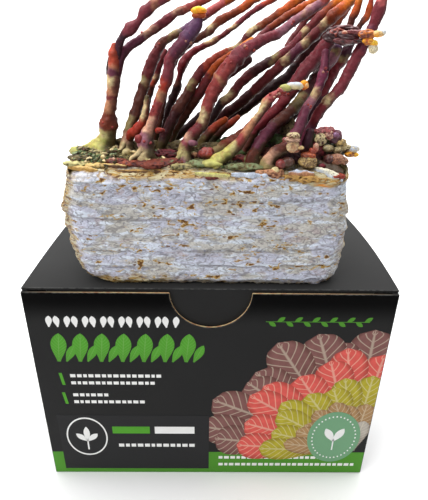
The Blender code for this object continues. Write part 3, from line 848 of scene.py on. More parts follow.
STEMS = (
    Stem("antler_01_trunk",
         ((-73, -43, 267, 8.8), (-70.5, -43, 275, 5.7), (-68.5, -43, 283, 6.0), (-67.2, -43, 292, 3.9),
          (-65.2, -43, 300, 3.8), (-63.3, -42, 311, 4.1), (-62, -42, 320, 4.1), (-61.6, -42, 327, 3.4),
          (-61, -42, 330.5, 2.2)),
         ((275, Tone.LIME), (279, Tone.CREAM_GREEN), (291, Tone.RUST), (298, Tone.TAN),
          (301.5, Tone.MAROON), (306.5, Tone.TAN), (312.5, Tone.CREAM), (317, Tone.PLUM), (318.5, Tone.TAN),
          (340, Tone.BRICK)),
         warts=((0.27, -20, 2),), toes=((186, 19), (322, 8), (35, 8)),
         lobes=(
             Lobe((-92, -46, 265.5), (9, 7, 6), Tone.OLIVE_CREAM, Tone.LIME),
         )),
    Stem("antler_01_left_fork",
         ((-60.5, -41.5, 317, 2.2), (-60, -42, 326, 2.8), (-57.5, -43.5, 332, 2.5), (-55, -44, 336, 2.1),
          (-50, -45, 340, 3.9), (-45, -46, 344, 2.1), (-41, -46, 349, 3.3), (-35, -47, 353, 2.8),
          (-30, -48, 355.5, 2.7), (-24, -48, 358, 1.9)),
         ((337, Tone.PLUM_DARK), (352.5, Tone.PLUM_RED), (353.5, Tone.TAN), (357.5, Tone.PLUM_RED),
          (359.5, Tone.ORANGE), (364, Tone.YELLOW)),
         rooted=False),
    Stem("antler_01_right_fork",
         ((-64.5, -42, 305, 1.2), (-61.5, -42, 313, 2.9), (-59.3, -41, 321, 3.2), (-54.5, -39, 328.5, 2.7),
          (-46, -37, 334, 2.5), (-40, -37, 338, 2.5), (-31, -36, 344, 2.9), (-23, -36, 349, 2.5),
          (-13, -36, 353, 2.4), (-4, -36, 357, 2.3), (3, -36, 360, 1.7)),
         ((336.5, Tone.PLUM), (340, Tone.CREAM_PINK), (348.5, Tone.PLUM_RED), (350.5, Tone.CREAM_PINK),
          (357.5, Tone.BRICK_ROSE), (359.5, Tone.ORANGE), (364, Tone.YELLOW)),
         rooted=False, warts=((0.42, -30, 2),)),
    Stem("antler_02",
         ((-58, -43, 267, 4.1), (-57, -41, 274, 4.1), (-55, -39, 282, 3.4), (-51, -36, 291, 3.8),
          (-45.5, -31, 307, 3.5), (-41, -27, 319, 3.9), (-36, -23, 329, 3.2), (-30, -20, 334.5, 2.7),
          (-16, -16, 342, 2.7), (-4, -13, 350, 2.8), (8, -11, 357, 2.6), (18, -10, 362, 1.9)),
         ((270, Tone.CREAM), (277, Tone.CREAM_PINK), (286, Tone.OLIVE_CREAM), (306, Tone.UMBER),
          (309.5, Tone.OLIVE_CREAM), (329, Tone.MAROON), (335, Tone.UMBER), (338.5, Tone.OLIVE_CREAM),
          (349, Tone.INDIGO_PLUM), (357, Tone.ROSE), (361, Tone.ORANGE), (368, Tone.YELLOW)),
         warts=((0.5, -10, 2),), toes=((238, 7), (165, 5)),
         lobes=(
             Lobe((-56.5, -51, 266.3), (6.4, 6, 5.6), Tone.OLIVE_CREAM, Tone.CREAM, 0.15),
         )),
    Stem("antler_02_side_shoot",
         ((-55, -44, 275, 3.0), (-54, -47.5, 277.5, 3.0), (-49, -50, 281, 3.4), (-45, -49, 287, 2.7),
          (-43, -47.5, 294, 2.2), (-42, -46, 301, 1.5)),
         ((287, Tone.SCARLET), (299, Tone.CREAM), (303, Tone.OLIVE)),
         rooted=False),
    Stem("antler_03",
         ((-50, -18, 263, 3), (-48, -14, 288, 3), (-44, -12, 303, 3.1), (-40, -10, 311, 2.8),
          (-38, -9, 318, 3.2), (-33, -8, 327, 1.8)),
         ((292, Tone.MAROON_DARK), (304, Tone.UMBER), (308, Tone.BRICK), (312, Tone.CREAM),
          (330, Tone.MAROON))),
    Stem("antler_04",
         ((-43, -58, 265, 4.8), (-43, -57, 275, 5.3), (-39, -55, 285, 3.4), (-36, -53, 294, 3.1),
          (-32.6, -51, 302, 3.2), (-29, -50, 312, 3.8), (-26, -48, 324, 3.8), (-21.4, -47, 330, 3.9),
          (-15, -45.5, 337, 4.4), (-10.5, -45, 342, 3.8), (-9, -45, 346, 3.0)),
         ((270, Tone.CREAM), (279, Tone.MAUVE), (289, Tone.CREAM_PINK), (299, Tone.BRICK_ROSE),
          (305, Tone.TAN), (311, Tone.SCARLET), (325, Tone.PLUM_RED), (334, Tone.PLUM),
          (349, Tone.INDIGO_PLUM), (360, Tone.RUST)),
         warts=((0.13, 5, 2), (0.33, -30, 3), (0.48, -50, 2), (0.8, 10, 2)), toes=((214, 10),),
         lobes=(
             Lobe((-9, -45, 347.6), (8.6, 7.6, 4.4), Tone.RUST, Tone.BURNT_ORANGE, 0.1, 0.08, 2.0),
             Lobe((-9, -45.4, 350.2), (9.6, 8.4, 4.4), Tone.ORANGE, Tone.YELLOW, 0.12, 0.1, 2.4, 0.9),
             Lobe((-33.6, -57, 282), (6, 4, 4), Tone.MAROON_DARK, Tone.SCARLET, 0.25, 0.12, 2.6),
             Lobe((-47, -60, 277), (5, 4.5, 5.5), Tone.WINE, Tone.BRICK_ROSE, 0.15),
         )),
    Stem("antler_05",
         ((-42, 0, 260, 3.2), (-37, 0, 275, 3), (-32, 1, 289, 2.9), (-26, 2, 302, 3.0), (-25, 2, 307, 2.0),
          (-21, 3, 319, 3.5), (-13, 4, 327, 2.4), (0, 6, 333, 2.1), (14, 9, 342, 2.1), (27, 12, 352, 2.1),
          (41, 15, 360, 2.2), (51, 17, 365, 1.6)),
         ((303, Tone.DARK), (307.5, Tone.UMBER), (331, Tone.WINE), (334, Tone.CREAM), (341.5, Tone.MAROON),
          (344.5, Tone.CREAM), (356, Tone.PLUM_RED), (362, Tone.BRICK), (365, Tone.ORANGE),
          (370, Tone.YELLOW)),
         knuckle=0.2),
    Stem("antler_06",
         ((-41, -28, 265, 3), (-36, -27, 287, 2.6), (-31, -27, 310, 2.5), (-24, -26, 324, 2.5),
          (-16, -25, 332, 2.5), (-5, -25, 338, 2.5), (5, -24, 346, 2.8), (17, -22, 352, 2.3),
          (24, -21, 357, 2.8), (32, -20, 361, 1.8)),
         ((336, Tone.UMBER), (339.5, Tone.UMBER), (342.5, Tone.CREAM), (352, Tone.BROWN_ORANGE),
          (358, Tone.BURNT_ORANGE), (361, Tone.ORANGE), (366, Tone.YELLOW)),
         knuckle=0.2),
    Stem("antler_07",
         ((-35, -39, 266, 3.7), (-32, -37, 275, 3.7), (-25, -34, 289, 3.8), (-17, -30, 301, 3.6),
          (-11, -27, 311, 3.4), (-5, -23, 318, 3.1), (5, -19, 325, 2.9), (17, -17, 330, 2.7),
          (25, -14, 339, 2.6), (37, -9, 346, 2.9), (55, -5, 358, 3.0), (63, -3, 363, 2.1)),
         ((270, Tone.OLIVE), (290, Tone.MAROON_DARK), (304, Tone.UMBER), (308.5, Tone.OLIVE_CREAM),
          (316, Tone.MAROON), (327.5, Tone.BRICK), (331.5, Tone.CREAM), (337.5, Tone.MAROON),
          (341.5, Tone.CREAM), (350, Tone.BROWN_ORANGE), (357, Tone.BURNT_ORANGE), (361, Tone.ORANGE),
          (368, Tone.YELLOW))),
    Stem("antler_08",
         ((-31, -23, 264, 3.8), (-26.5, -22, 277, 3.9), (-17.4, -24, 290, 3.7), (-7, -28, 305, 3.4),
          (2, -31, 319, 2.6), (12, -32, 326, 2.2), (25, -32, 335, 1.9)),
         ((300, Tone.UMBER), (314, Tone.MAROON), (329, Tone.BURNT_ORANGE), (335, Tone.ORANGE),
          (342, Tone.AMBER))),
    Stem("antler_09",
         ((-18, -59, 265, 4.5), (-17.5, -57.5, 271, 4.4), (-13.5, -55, 278, 4.2), (-6.5, -51.5, 286.5, 3.6),
          (-2, -48, 300, 4.2), (4, -46, 311, 4.8), (10, -44, 320, 4.9), (19, -41, 328, 4.6),
          (29, -39, 334, 3.5), (41, -37, 339, 3.0), (52, -35, 347, 2.8), (65, -32, 355, 3.0),
          (72, -31, 360, 2.3)),
         ((265, Tone.MAUVE), (270, Tone.CREAM_GREEN), (274, Tone.PLUM_RED), (277, Tone.CREAM_PINK),
          (284.5, Tone.MAROON), (293, Tone.CREAM), (303, Tone.BRICK_ROSE), (310, Tone.BRICK_ROSE),
          (312, Tone.TAN), (322, Tone.BRICK_ROSE), (338, Tone.PLUM_RED), (349, Tone.MAUVE),
          (350.5, Tone.CREAM_PINK), (356, Tone.MAUVE), (360, Tone.BRICK), (366, Tone.ORANGE)),
         warts=((0.1, 10, 2), (0.46, -40, 3), (0.56, 10, 5), (0.78, 40, 3)), toes=((205, 5),),
         lobes=(
             Lobe((-12.8, -58.6, 274.6), (7.8, 5.2, 4.4), Tone.PLUM_DARK, Tone.MAUVE, 0.22, 0.0, 3.0, 0.4),
         )),
    Stem("antler_09_fork",
         ((29, -37, 335, 2.4), (31, -33.5, 338, 2.2), (47, -29, 349, 2.4), (59, -26, 355, 2.7),
          (68, -25, 360, 2.0)),
         ((341, Tone.MAROON), (350, Tone.BROWN_ORANGE), (356, Tone.BURNT_ORANGE), (360, Tone.ORANGE),
          (366, Tone.YELLOW)),
         rooted=False),
    Stem("antler_10",
         ((-34, 3, 259, 3.6), (-24.6, 0, 269, 3.5), (-5, -6, 286, 3.5), (0.8, -11, 299.6, 3.2),
          (6.6, -17, 309, 3.2), (15, -20, 316.4, 3.3), (24, -22, 323, 3.1)),
         ((300, Tone.DARK), (335, Tone.MAROON_DARK))),
    Stem("antler_11",
         ((-6, -20, 264, 2.8), (-2, -17, 279, 2.8), (6, -15, 293, 3.1), (13, -14, 298.4, 3.3),
          (20, -13, 307.5, 3.5), (31, -11, 316, 3.5), (53, -8, 329, 3.3), (62, -7, 339, 3.2),
          (72, -7, 349, 3.2), (82, -7, 358, 3.4), (87, -7, 362, 2.4)),
         ((294, Tone.DARK), (300, Tone.CREAM), (313, Tone.MAROON), (321, Tone.MAROON_DARK),
          (324, Tone.OLIVE_CREAM), (337.5, Tone.PLUM_RED), (340.5, Tone.CREAM), (350, Tone.MAROON),
          (356, Tone.BROWN_ORANGE), (360, Tone.ORANGE), (368, Tone.YELLOW))),
    Stem("antler_11_fork",
         ((52, -6, 329, 2.7), (54, -2.3, 333.6, 2.7), (61, 0, 342, 2.8), (64, 1, 348, 2.8),
          (71, 2, 354, 2.7), (80, 2, 362, 1.9)),
         ((350, Tone.MAROON), (357, Tone.BRICK), (361, Tone.ORANGE), (368, Tone.YELLOW)),
         rooted=False),
    Stem("antler_12",
         ((-8, 0, 261, 3.3), (2, -1, 278, 3.9), (20, -4, 292, 3.7), (36, -10, 308, 3.7),
          (50, -16, 322, 3.6), (62, -17, 333, 3.5), (72, -18, 343, 3.5), (81, -18, 352, 3.9),
          (94, -18, 362, 2.4)),
         ((276, Tone.OLIVE), (300, Tone.MAROON_DARK), (320, Tone.MAROON), (323, Tone.CREAM),
          (331.5, Tone.PLUM), (334.5, Tone.CREAM), (342.5, Tone.MAROON), (345, Tone.CREAM),
          (351, Tone.BROWN_ORANGE), (355, Tone.BURNT_ORANGE), (359, Tone.ORANGE), (368, Tone.AMBER))),
    Stem("antler_13",
         ((1, 12, 260, 3.3), (12, 10, 276, 3.5), (30, 7, 291, 3.7), (46, 4, 304, 4.3), (55, 3, 310, 4.4),
          (64, 2, 321, 4.5), (72, 1, 331, 4.2), (86, -2, 348, 3.3), (95, -3, 363, 2.0)),
         ((276, Tone.OLIVE_DARK), (318, Tone.DARK), (334, Tone.MAROON_DARK), (344, Tone.MAROON),
          (352, Tone.BROWN_ORANGE), (360, Tone.BURNT_ORANGE), (368, Tone.ORANGE)),
         knuckle=0.14),
    Stem("antler_14",
         ((-2, -50, 265, 3.6), (8, -47, 269.8, 4.2), (16.6, -40, 273.6, 4.2), (24.4, -34, 278.6, 3.8),
          (35, -28, 290, 3.2), (42, -24, 300, 2.6)),
         ((269, Tone.OLIVE_CREAM), (276, Tone.RUST), (290, Tone.BRICK_ROSE), (305, Tone.MAROON))),
    Stem("antler_15",
         ((3, -64, 264, 4.2), (11, -63, 270, 4.0), (18, -62, 277, 3.4), (24, -60, 286, 2.7),
          (30, -58, 294, 2.4), (34, -57, 301, 3.0), (41, -56, 306, 2.3), (47, -56, 308.5, 2.3),
          (52, -55.5, 309.5, 2.4), (56, -55, 310, 2.2)),
         ((271, Tone.LIME), (273.5, Tone.CREAM_GREEN), (279.5, Tone.BRICK_ROSE), (289, Tone.TAN),
          (298, Tone.CREAM), (300, Tone.TAN), (306.3, Tone.ROSE), (309.4, Tone.IVORY), (320, Tone.ORANGE)),
         warts=((0.68, -20, 9), (0.74, 0, 9), (0.78, 20, 7)),
         lobes=(
             Lobe((0, -66, 263.6), (15, 8, 4.6), Tone.OLIVE_CREAM, Tone.LIME, 0.25, 0.12, 3.0),
             Lobe((45, -56.4, 308.6), (8, 5, 4.2), Tone.OLIVE_CREAM, Tone.LIME, 0.12, 0.08),
             Lobe((50.5, -56.2, 309.8), (12, 5.4, 4.4), Tone.CREAM, Tone.BLUE_WHITE, 0.12, 0.08, 2.2, 0.8),
             Lobe((56, -55.3, 310.2), (5.6, 5.6, 5.8), Tone.BURNT_ORANGE, Tone.AMBER, 0.12),
             Lobe((57, -56.3, 309.9), (3.6, 4.6, 3.6), Tone.ORANGE, Tone.CREAM, 0.1),
         )),
    Stem("antler_16",
         ((22, -46, 266, 3.2), (28, -44, 280, 3.6), (34, -43, 286, 3.8), (43, -40, 294, 3.8),
          (49, -37, 301, 4.1), (58, -34, 315, 4.7), (65, -33, 323, 4.9), (71, -33, 331, 4.6),
          (74, -34, 335, 4.0)),
         ((278, Tone.UMBER), (300, Tone.WINE), (310, Tone.MAROON), (320, Tone.PLUM_RED),
          (345, Tone.PLUM_RED)),
         warts=((0.5, -10, 2),)),
    Stem("antler_17",
         ((26, -62, 264, 3.8), (28, -60, 271, 3.9), (33, -57, 278, 4.0), (40, -51, 285, 4.1),
          (47, -47, 290, 4.0), (54, -42, 295, 4.0), (60, -36, 302, 3.8), (67, -30, 309.6, 4.1),
          (73, -26, 317, 4.1), (78, -27, 324, 3.9), (81, -28, 331, 3.6)),
         ((271, Tone.UMBER), (284, Tone.PLUM), (293, Tone.UMBER), (298, Tone.OLIVE),
          (301.5, Tone.OLIVE_CREAM), (318, Tone.MAROON_DARK), (321, Tone.PLUM), (327.5, Tone.MAUVE),
          (330.5, Tone.OLIVE_CREAM), (340, Tone.INDIGO_PLUM))),
    Stem("antler_18",
         ((36, -65, 263, 3.9), (40, -66, 271, 4.0), (47, -65, 275, 4.0), (53, -62, 283, 3.7),
          (58, -57, 295, 3.2), (64, -53, 304, 3.0), (68, -50, 316, 3.1), (69, -48, 324, 2.8),
          (69, -47, 329, 2.2)),
         ((264.5, Tone.OLIVE_CREAM), (270, Tone.CREAM_PINK), (275, Tone.UMBER), (296, Tone.PLUM),
          (301.5, Tone.MAUVE), (306.5, Tone.CREAM), (318, Tone.MAGENTA_PLUM), (340, Tone.PLUM)),
         warts=((0.55, -20, 3), (0.82, 0, 3))),
    Stem("antler_19",
         ((63, -33, 265, 3.3), (65, -30, 281, 3.4), (69, -28, 290, 3.4), (74, -25, 299, 3.4),
          (82, -21, 316, 3.6), (87, -20, 323, 3.6), (91, -20, 333, 3.4)),
         ((300, Tone.PLUM_DARK), (322, Tone.WINE), (325, Tone.OLIVE_CREAM), (340, Tone.PLUM_DARK)),
         knuckle=0.12),
    Stem("antler_20",
         ((60, -50, 266, 3.9), (63, -49, 279, 3.6), (68, -49, 292, 3.4), (74, -49, 301, 3.4),
          (81, -49, 309, 3.6), (85, -49, 319, 3.6), (93, -48, 337, 3.5), (96, -47, 344, 3.3),
          (98, -47, 352, 3.7), (99, -47, 362, 2.6)),
         ((285, Tone.PLUM), (298, Tone.WINE), (302, Tone.CREAM), (330, Tone.PLUM_RED), (342, Tone.PLUM),
          (354, Tone.PLUM_RED), (361, Tone.ROSE), (365, Tone.BRICK), (370, Tone.ORANGE))),
    Stem("antler_21",
         ((-71, -27, 264, 2.8), (-69, -29, 285, 2.4), (-68, -32, 306, 2.2), (-67, -33, 318, 2.2),
          (-65, -34, 326, 1.5)),
         ((400, Tone.DARK),)),
    Stem("antler_22",
         ((84, -38, 341, 2.0), (85, -38, 347, 2.2), (87, -38, 352, 2.6), (89, -38, 362, 1.8)),
         ((350, Tone.UMBER), (356, Tone.BURNT_ORANGE), (368, Tone.ORANGE)),
         rooted=False),
    Stem("antler_23",
         ((88, -40, 340, 1.6), (91, -38, 344.5, 1.8), (95, -36, 350, 2.4), (96, -36, 360, 1.3)),
         ((346, Tone.UMBER), (354, Tone.BURNT_ORANGE), (359, Tone.BRICK), (368, Tone.ORANGE)),
         rooted=False),
    Stem("antler_24",
         ((38, -38, 265, 3.0), (48, -33, 279, 3.0), (54, -31, 286, 3.0), (59, -30, 293, 2.8),
          (62, -29, 298, 2.4)),
         ((272, Tone.OLIVE_DARK), (287, Tone.MAROON_DARK), (310, Tone.DARK))),
    Stem("young_dark_bud",
         ((60, -58.5, 265, 3.2), (61, -58.5, 275, 3.6), (62, -58, 283, 2.6)),
         ((271, Tone.UMBER), (290, Tone.PLUM_DARK))),
    Stem("young_finger_left",
         ((-8, -36, 266, 3), (-4, -36, 274, 3.2), (2, -36, 281, 3.1), (9, -36, 286, 2.1)),
         ((273, Tone.OLIVE), (278, Tone.UMBER), (283, Tone.BRICK), (292, Tone.BURNT_ORANGE))),
    Stem("young_finger_middle",
         ((-1, -25, 264, 2.9), (5, -25, 275, 2.8), (12, -26, 281, 2.6), (18, -26, 286, 1.8)),
         ((273, Tone.OLIVE_DARK), (281, Tone.UMBER), (286, Tone.BRICK), (292, Tone.BURNT_ORANGE))),
)


def add_lobe(draft: Draft, lobe: Lobe, detail: int) -> None:
    """Adds one lobe, with soft swellings and sharp ridges, with painted shade in its hollows and painted
    light on its crests and top.

    Args:
        draft: The growth.
        lobe: The lobe.
        detail: How finely a large lobe is divided.
    """
    low, high = lobe.low.linear(), lobe.high.linear()
    centre = Vector(lobe.centre)
    largest = max(lobe.size)
    ridge_size = (lobe.grain * lobe.drawn, lobe.grain, lobe.grain)
    for vert in add_ball(draft, lobe.centre, lobe.size, detail if largest > LARGE_LOBE else detail - 1):
        out = vert.co - centre
        soft = lumps(vert.co, largest * 0.45, 2)
        ridge = 1 - 2.2 * abs(lumps(vert.co, ridge_size, 2, 3.0))
        vert.co = centre + out * (1 + lobe.lump * soft + 0.5 * lobe.crinkle * (ridge - 0.4))
        # The high tone is painted highlight on the crests and painted light on the top; the low tone is
        # painted shade in the hollows.
        crest_highlight = 0.8 * ridge if lobe.crinkle > 0.12 else 0.3
        light = 0.5 * soft + lobe.lit_top * out.normalized().z + crest_highlight
        draft.tint(vert, low.lerp(high, smoothstep(-0.2, 0.95, light)))


@dataclass
class AntlerStand:
    """All the antlers: each a ring swept along its route, swollen and creased, in bands of colour."""

    shop: FinishShop
    ring_step: float = 0.8
    sides: int = 26
    sunk: float = 2.5
    foot_spread: float = 0.25
    tall_rise: float = 6
    foot_lift: float = 1.5
    tip_rings: int = 6
    # The tone and the share of the painted shade on the side away from the light.
    shade_tone: Tone = Tone.DARK
    shade_share: float = 0.72
    girth: float = 0.98
    # How much painted light brightens the left and top.
    lit_side_gain: float = 0.16
    brightness: float = 0.86
    flare: float = 0.3
    knot_length: float = 5.5
    swell: float = 0.18
    ripple: float = 0.08
    blotch: float = 0.26
    rose_share: float = 0.4
    # How far painted shade turns the pale bands maroon on their right side.
    band_shade_share: float = 0.85
    # The share of dark olive painted shade near the foot.
    foot_shade_share: float = 0.75
    # The heights where the pale bands' painted shade comes in, and where the foot's painted shade fades out.
    band_shade_from: Spread = (275.0, 290.0)
    foot_shade_from: Spread = (288.0, 272.0)
    wart_sizes: tuple[float, float] = (1.0, 2.2)
    wart_spread: float = 55
    toe_thickness: float = 4.2
    toe_shift: int = 40

    # How far out, how high and how thick a toe is, as shares of its reach and its thickness.
    TOE: tuple[Spot, ...] = (
        (0.0, 1.3, 0.7), (0.3, 0.8, 0.66), (0.65, 0.25, 0.52), (1.0, -0.1, 0.4), (1.15, -0.6, 0.24),
    )

    def build(self) -> None:
        """Builds every stem as its own piece."""
        for number, stem in enumerate(STEMS):
            self.build_stem(stem, number)

    def build_stem(self, stem: Stem, number: int) -> None:
        """Sweeps, paints and dresses one stem.

        Args:
            stem: The stem.
            number: Its number, which shifts its noise.
        """
        draft = Draft(("along",))
        places = self.places(stem)
        self.sweep(draft, stem, places, number)
        for share, angle, count in stem.warts:
            self.add_warts(draft, places, share, angle, count)
        if stem.rooted:
            self.add_toes(draft, stem, places[0][1][2] + self.sunk, number)
        for lobe in stem.lobes:
            add_lobe(draft, lobe, 4)
        slot = Slot.ANTLER if stem.node.startswith("antler") else Slot.YOUNG
        draft.finish(f"{stem.node}_skin", slot, self.shop.material(Finish.LACQUER), (stem.node,))

    def places(self, stem: Stem) -> Stations:
        """Places along the stem, from a foot sunk in the crust to a rounded tip."""
        route = list(stem.route)
        if stem.rooted:
            x, y, _, radius = route[0]
            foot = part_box(stem.node)[0].z / MM - self.sunk
            if route[1][2] - route[0][2] > self.tall_rise:
                route[0] = (x, y, foot + self.sunk + self.foot_lift, radius)
            route.insert(0, (x, y, foot, radius * (1 + self.foot_spread)))
        return self.rounded(stations_along(route, self.ring_step))

    def rounded(self, body: Stations) -> Stations:
        """Closes places with a rounded tip."""
        length, last = body[-1]
        tip, radius = Vector(last[:3]), last[3]
        heading = (tip - Vector(body[-2][1][:3])).normalized()
        for step in range(1, self.tip_rings + 1):
            turn = math.pi / 2 * step / self.tip_rings
            place = tip + heading * radius * math.sin(turn)
            body.append((length + radius * math.sin(turn), [*place, radius * max(0.0, math.cos(turn))]))
        return body

    def frame_at(self, places: Stations, index: int) -> tuple[Vector, Vector, Vector]:
        """The stem's middle, its forward side and its right side at a place."""
        here = Vector(places[index][1][:3])
        ahead = Vector(places[min(index + 1, len(places) - 1)][1][:3])
        behind = Vector(places[max(index - 1, 0)][1][:3])
        heading = (ahead - behind).normalized()
        forward = Vector((0, -1, 0))
        forward = (forward - heading * forward.dot(heading)).normalized()
        return here, forward, heading.cross(forward)

    def sweep(self, draft: Draft, stem: Stem, places: Stations, number: int) -> None:
        """Bends a grid into a tube along the places and paints it.

        Args:
            draft: The piece.
            stem: The stem.
            places: Its places.
            number: Shifts the noise.
        """
        rings = len(places) - 1
        grid = bmesh.ops.create_grid(draft.bm, x_segments=rings, y_segments=self.sides, size=1)
        frames = [self.frame_at(places, index) for index in range(len(places))]
        tones = [(top, tone.linear()) for top, tone in stem.bands]
        along = draft.values["along"]
        for vert in grid["verts"]:
            index = round((vert.co.x + 1) / 2 * rings)
            turn = (vert.co.y + 1) * math.pi
            middle, forward, right = frames[index]
            length, (_, _, _, radius) = places[index]
            radius *= self.girth
            out = forward * math.cos(turn) + right * math.sin(turn)
            rough = middle + out * radius
            swell = stem.knuckle * lumps(Vector((length, 0, number * 9.0)), self.knot_length, 2)
            swell += self.swell * lumps(rough, 4.0, 2, number) + self.ripple * lumps(rough, 1.6, 1, number)
            flared = stem.rooted and number < self.toe_shift
            root = self.flare * smoothstep(9.0, 2.5, length) if flared else 0.0
            swell += root * (0.5 + 0.6 * math.sin(3 * turn + number * 1.7))
            vert.co = middle + out * radius * (1 + swell)
            vert[along] = length
            draft.tint(vert, self.skin_tone(tones, middle.z, rough, out, number))
        bmesh.ops.remove_doubles(draft.bm, verts=grid["verts"], dist=0.002)
        rim = [edge for edge in draft.bm.edges if edge.is_boundary]
        bmesh.ops.contextual_create(draft.bm, geom=rim)

    def skin_tone(self, tones: list, height: float, place: Vector, out: Vector, number: int) -> Vector:
        """The skin's colour at a place: soft bands, dirtied rose where pale, with painted light on the left
        and top, and painted shade on the side away from the light, on the pale bands' right side and near the
        foot.

        Args:
            tones: The stem's bands, each with its upper end.
            height: The height of the stem's middle there.
            place: The place on the skin.
            out: The direction that the skin faces.
            number: Shifts the noise.

        Returns:
            The colour in linear light.
        """
        high = 0.35 + 0.65 * smoothstep(*self.band_shade_from, height)
        height += 1.7 * lumps(place, 3.4, 2, number) + 0.6 * lumps(place, 1.2, 1, number + 7)
        height += 1.2 * out.x * math.sin(2.4 * number)
        soft = 1.7 + 1.2 * lumps(place, 6.0, 1, number + 2)
        colour = tones[0][1]
        for (top, _), (_, following) in zip(tones, tones[1:]):
            colour = colour.lerp(following, smoothstep(top - 0.8 * soft, top + soft, height))
        pale = smoothstep(0.12, 0.4, colour.y) * smoothstep(0.0, 0.5, lumps(place, 2.6, 2, number + 9))
        colour = colour.lerp(Tone.BRICK_ROSE.linear(), self.rose_share * pale)
        # Painted shade: the pale bands go maroon on the right and lower side, away from the light, less so
        # near the foot.
        shaded_band = smoothstep(-0.5, 0.5, out.x - 0.3 * out.z + 0.7 * lumps(place, 3.0, 2, number + 4))
        shaded_band *= smoothstep(0.1, 0.3, colour.y) * high
        colour = colour.lerp(Tone.MAROON.linear(), self.band_shade_share * shaded_band)
        # Painted light: the left and top of the stem are brighter and redder.
        lit_side = self.lit_side_gain * smoothstep(0.0, 1.0, 0.3 * out.z - out.x)
        colour = Vector(part * (1 + gain * lit_side) for part, gain in zip(colour, (1.3, 0.6, 0.3)))
        # Painted shade: the side away from the light darkens.
        shaded_side = out.x * 0.85 - out.z * 0.45 + 0.3 * lumps(place, 4.0, 1, number + 5)
        colour = colour.lerp(self.shade_tone.linear(), self.shade_share * smoothstep(0.0, 0.85, shaded_side))
        # Painted shade near the foot: dark olive on the side away from the light.
        foot_shade = smoothstep(-0.15, 0.5, shaded_side) * smoothstep(*self.foot_shade_from, height)
        colour = colour.lerp(Tone.OLIVE_DARK.linear(), self.foot_shade_share * foot_shade)
        return colour * self.brightness * (1 + self.blotch * lumps(place, 2.6, 2, number + 3))

    def add_warts(self, draft: Draft, places: Stations, share: float, angle: float, count: int) -> None:
        """Adds a cluster of warts.

        Args:
            draft: The piece.
            places: The stem's places.
            share: How far up the stem the cluster is, from 0 to 1.
            angle: Where round it, in degrees from the front towards the right.
            count: How many warts.
        """
        chance = random.Random(round(share * 1000) + count)
        for _ in range(count):
            index = round((share + chance.uniform(-0.02, 0.02)) * (len(places) - 1))
            middle, forward, right = self.frame_at(places, index)
            radius = places[index][1][3]
            turn = math.radians(angle + chance.uniform(-self.wart_spread, self.wart_spread))
            out = forward * math.cos(turn) + right * math.sin(turn)
            size = chance.uniform(*self.wart_sizes)
            # The wart's pale tone is a painted highlight on its top, over wine-dark painted shade.
            tone = chance.choice((Tone.ROSE, Tone.BRICK_ROSE, Tone.CREAM_PINK, Tone.BRICK))
            spot = middle + out * radius * 0.96
            add_lobe(draft, Lobe(tuple(spot), (size, size, size), Tone.WINE, tone, 0.15), 3)

    def add_toes(self, draft: Draft, stem: Stem, ground: float, number: int) -> None:
        """Adds the tapered toes by which a stem spreads on the crust.

        Args:
            draft: The piece.
            stem: The stem.
            ground: The crust's height at its foot.
            number: Shifts the noise.
        """
        x, y, _, radius = stem.route[0]
        foot, thick = Vector((x, y, ground)), min(radius, self.toe_thickness)
        for angle, reach in stem.toes:
            ahead = Vector((math.cos(math.radians(angle)), math.sin(math.radians(angle)), 0))
            route = [
                (*(foot + ahead * reach * out + Vector((0, 0, thick * up))), thick * wide)
                for out, up, wide in self.TOE
            ]
            places = self.rounded(stations_along(route, self.ring_step))
            self.sweep(draft, stem, places, number + self.toe_shift)


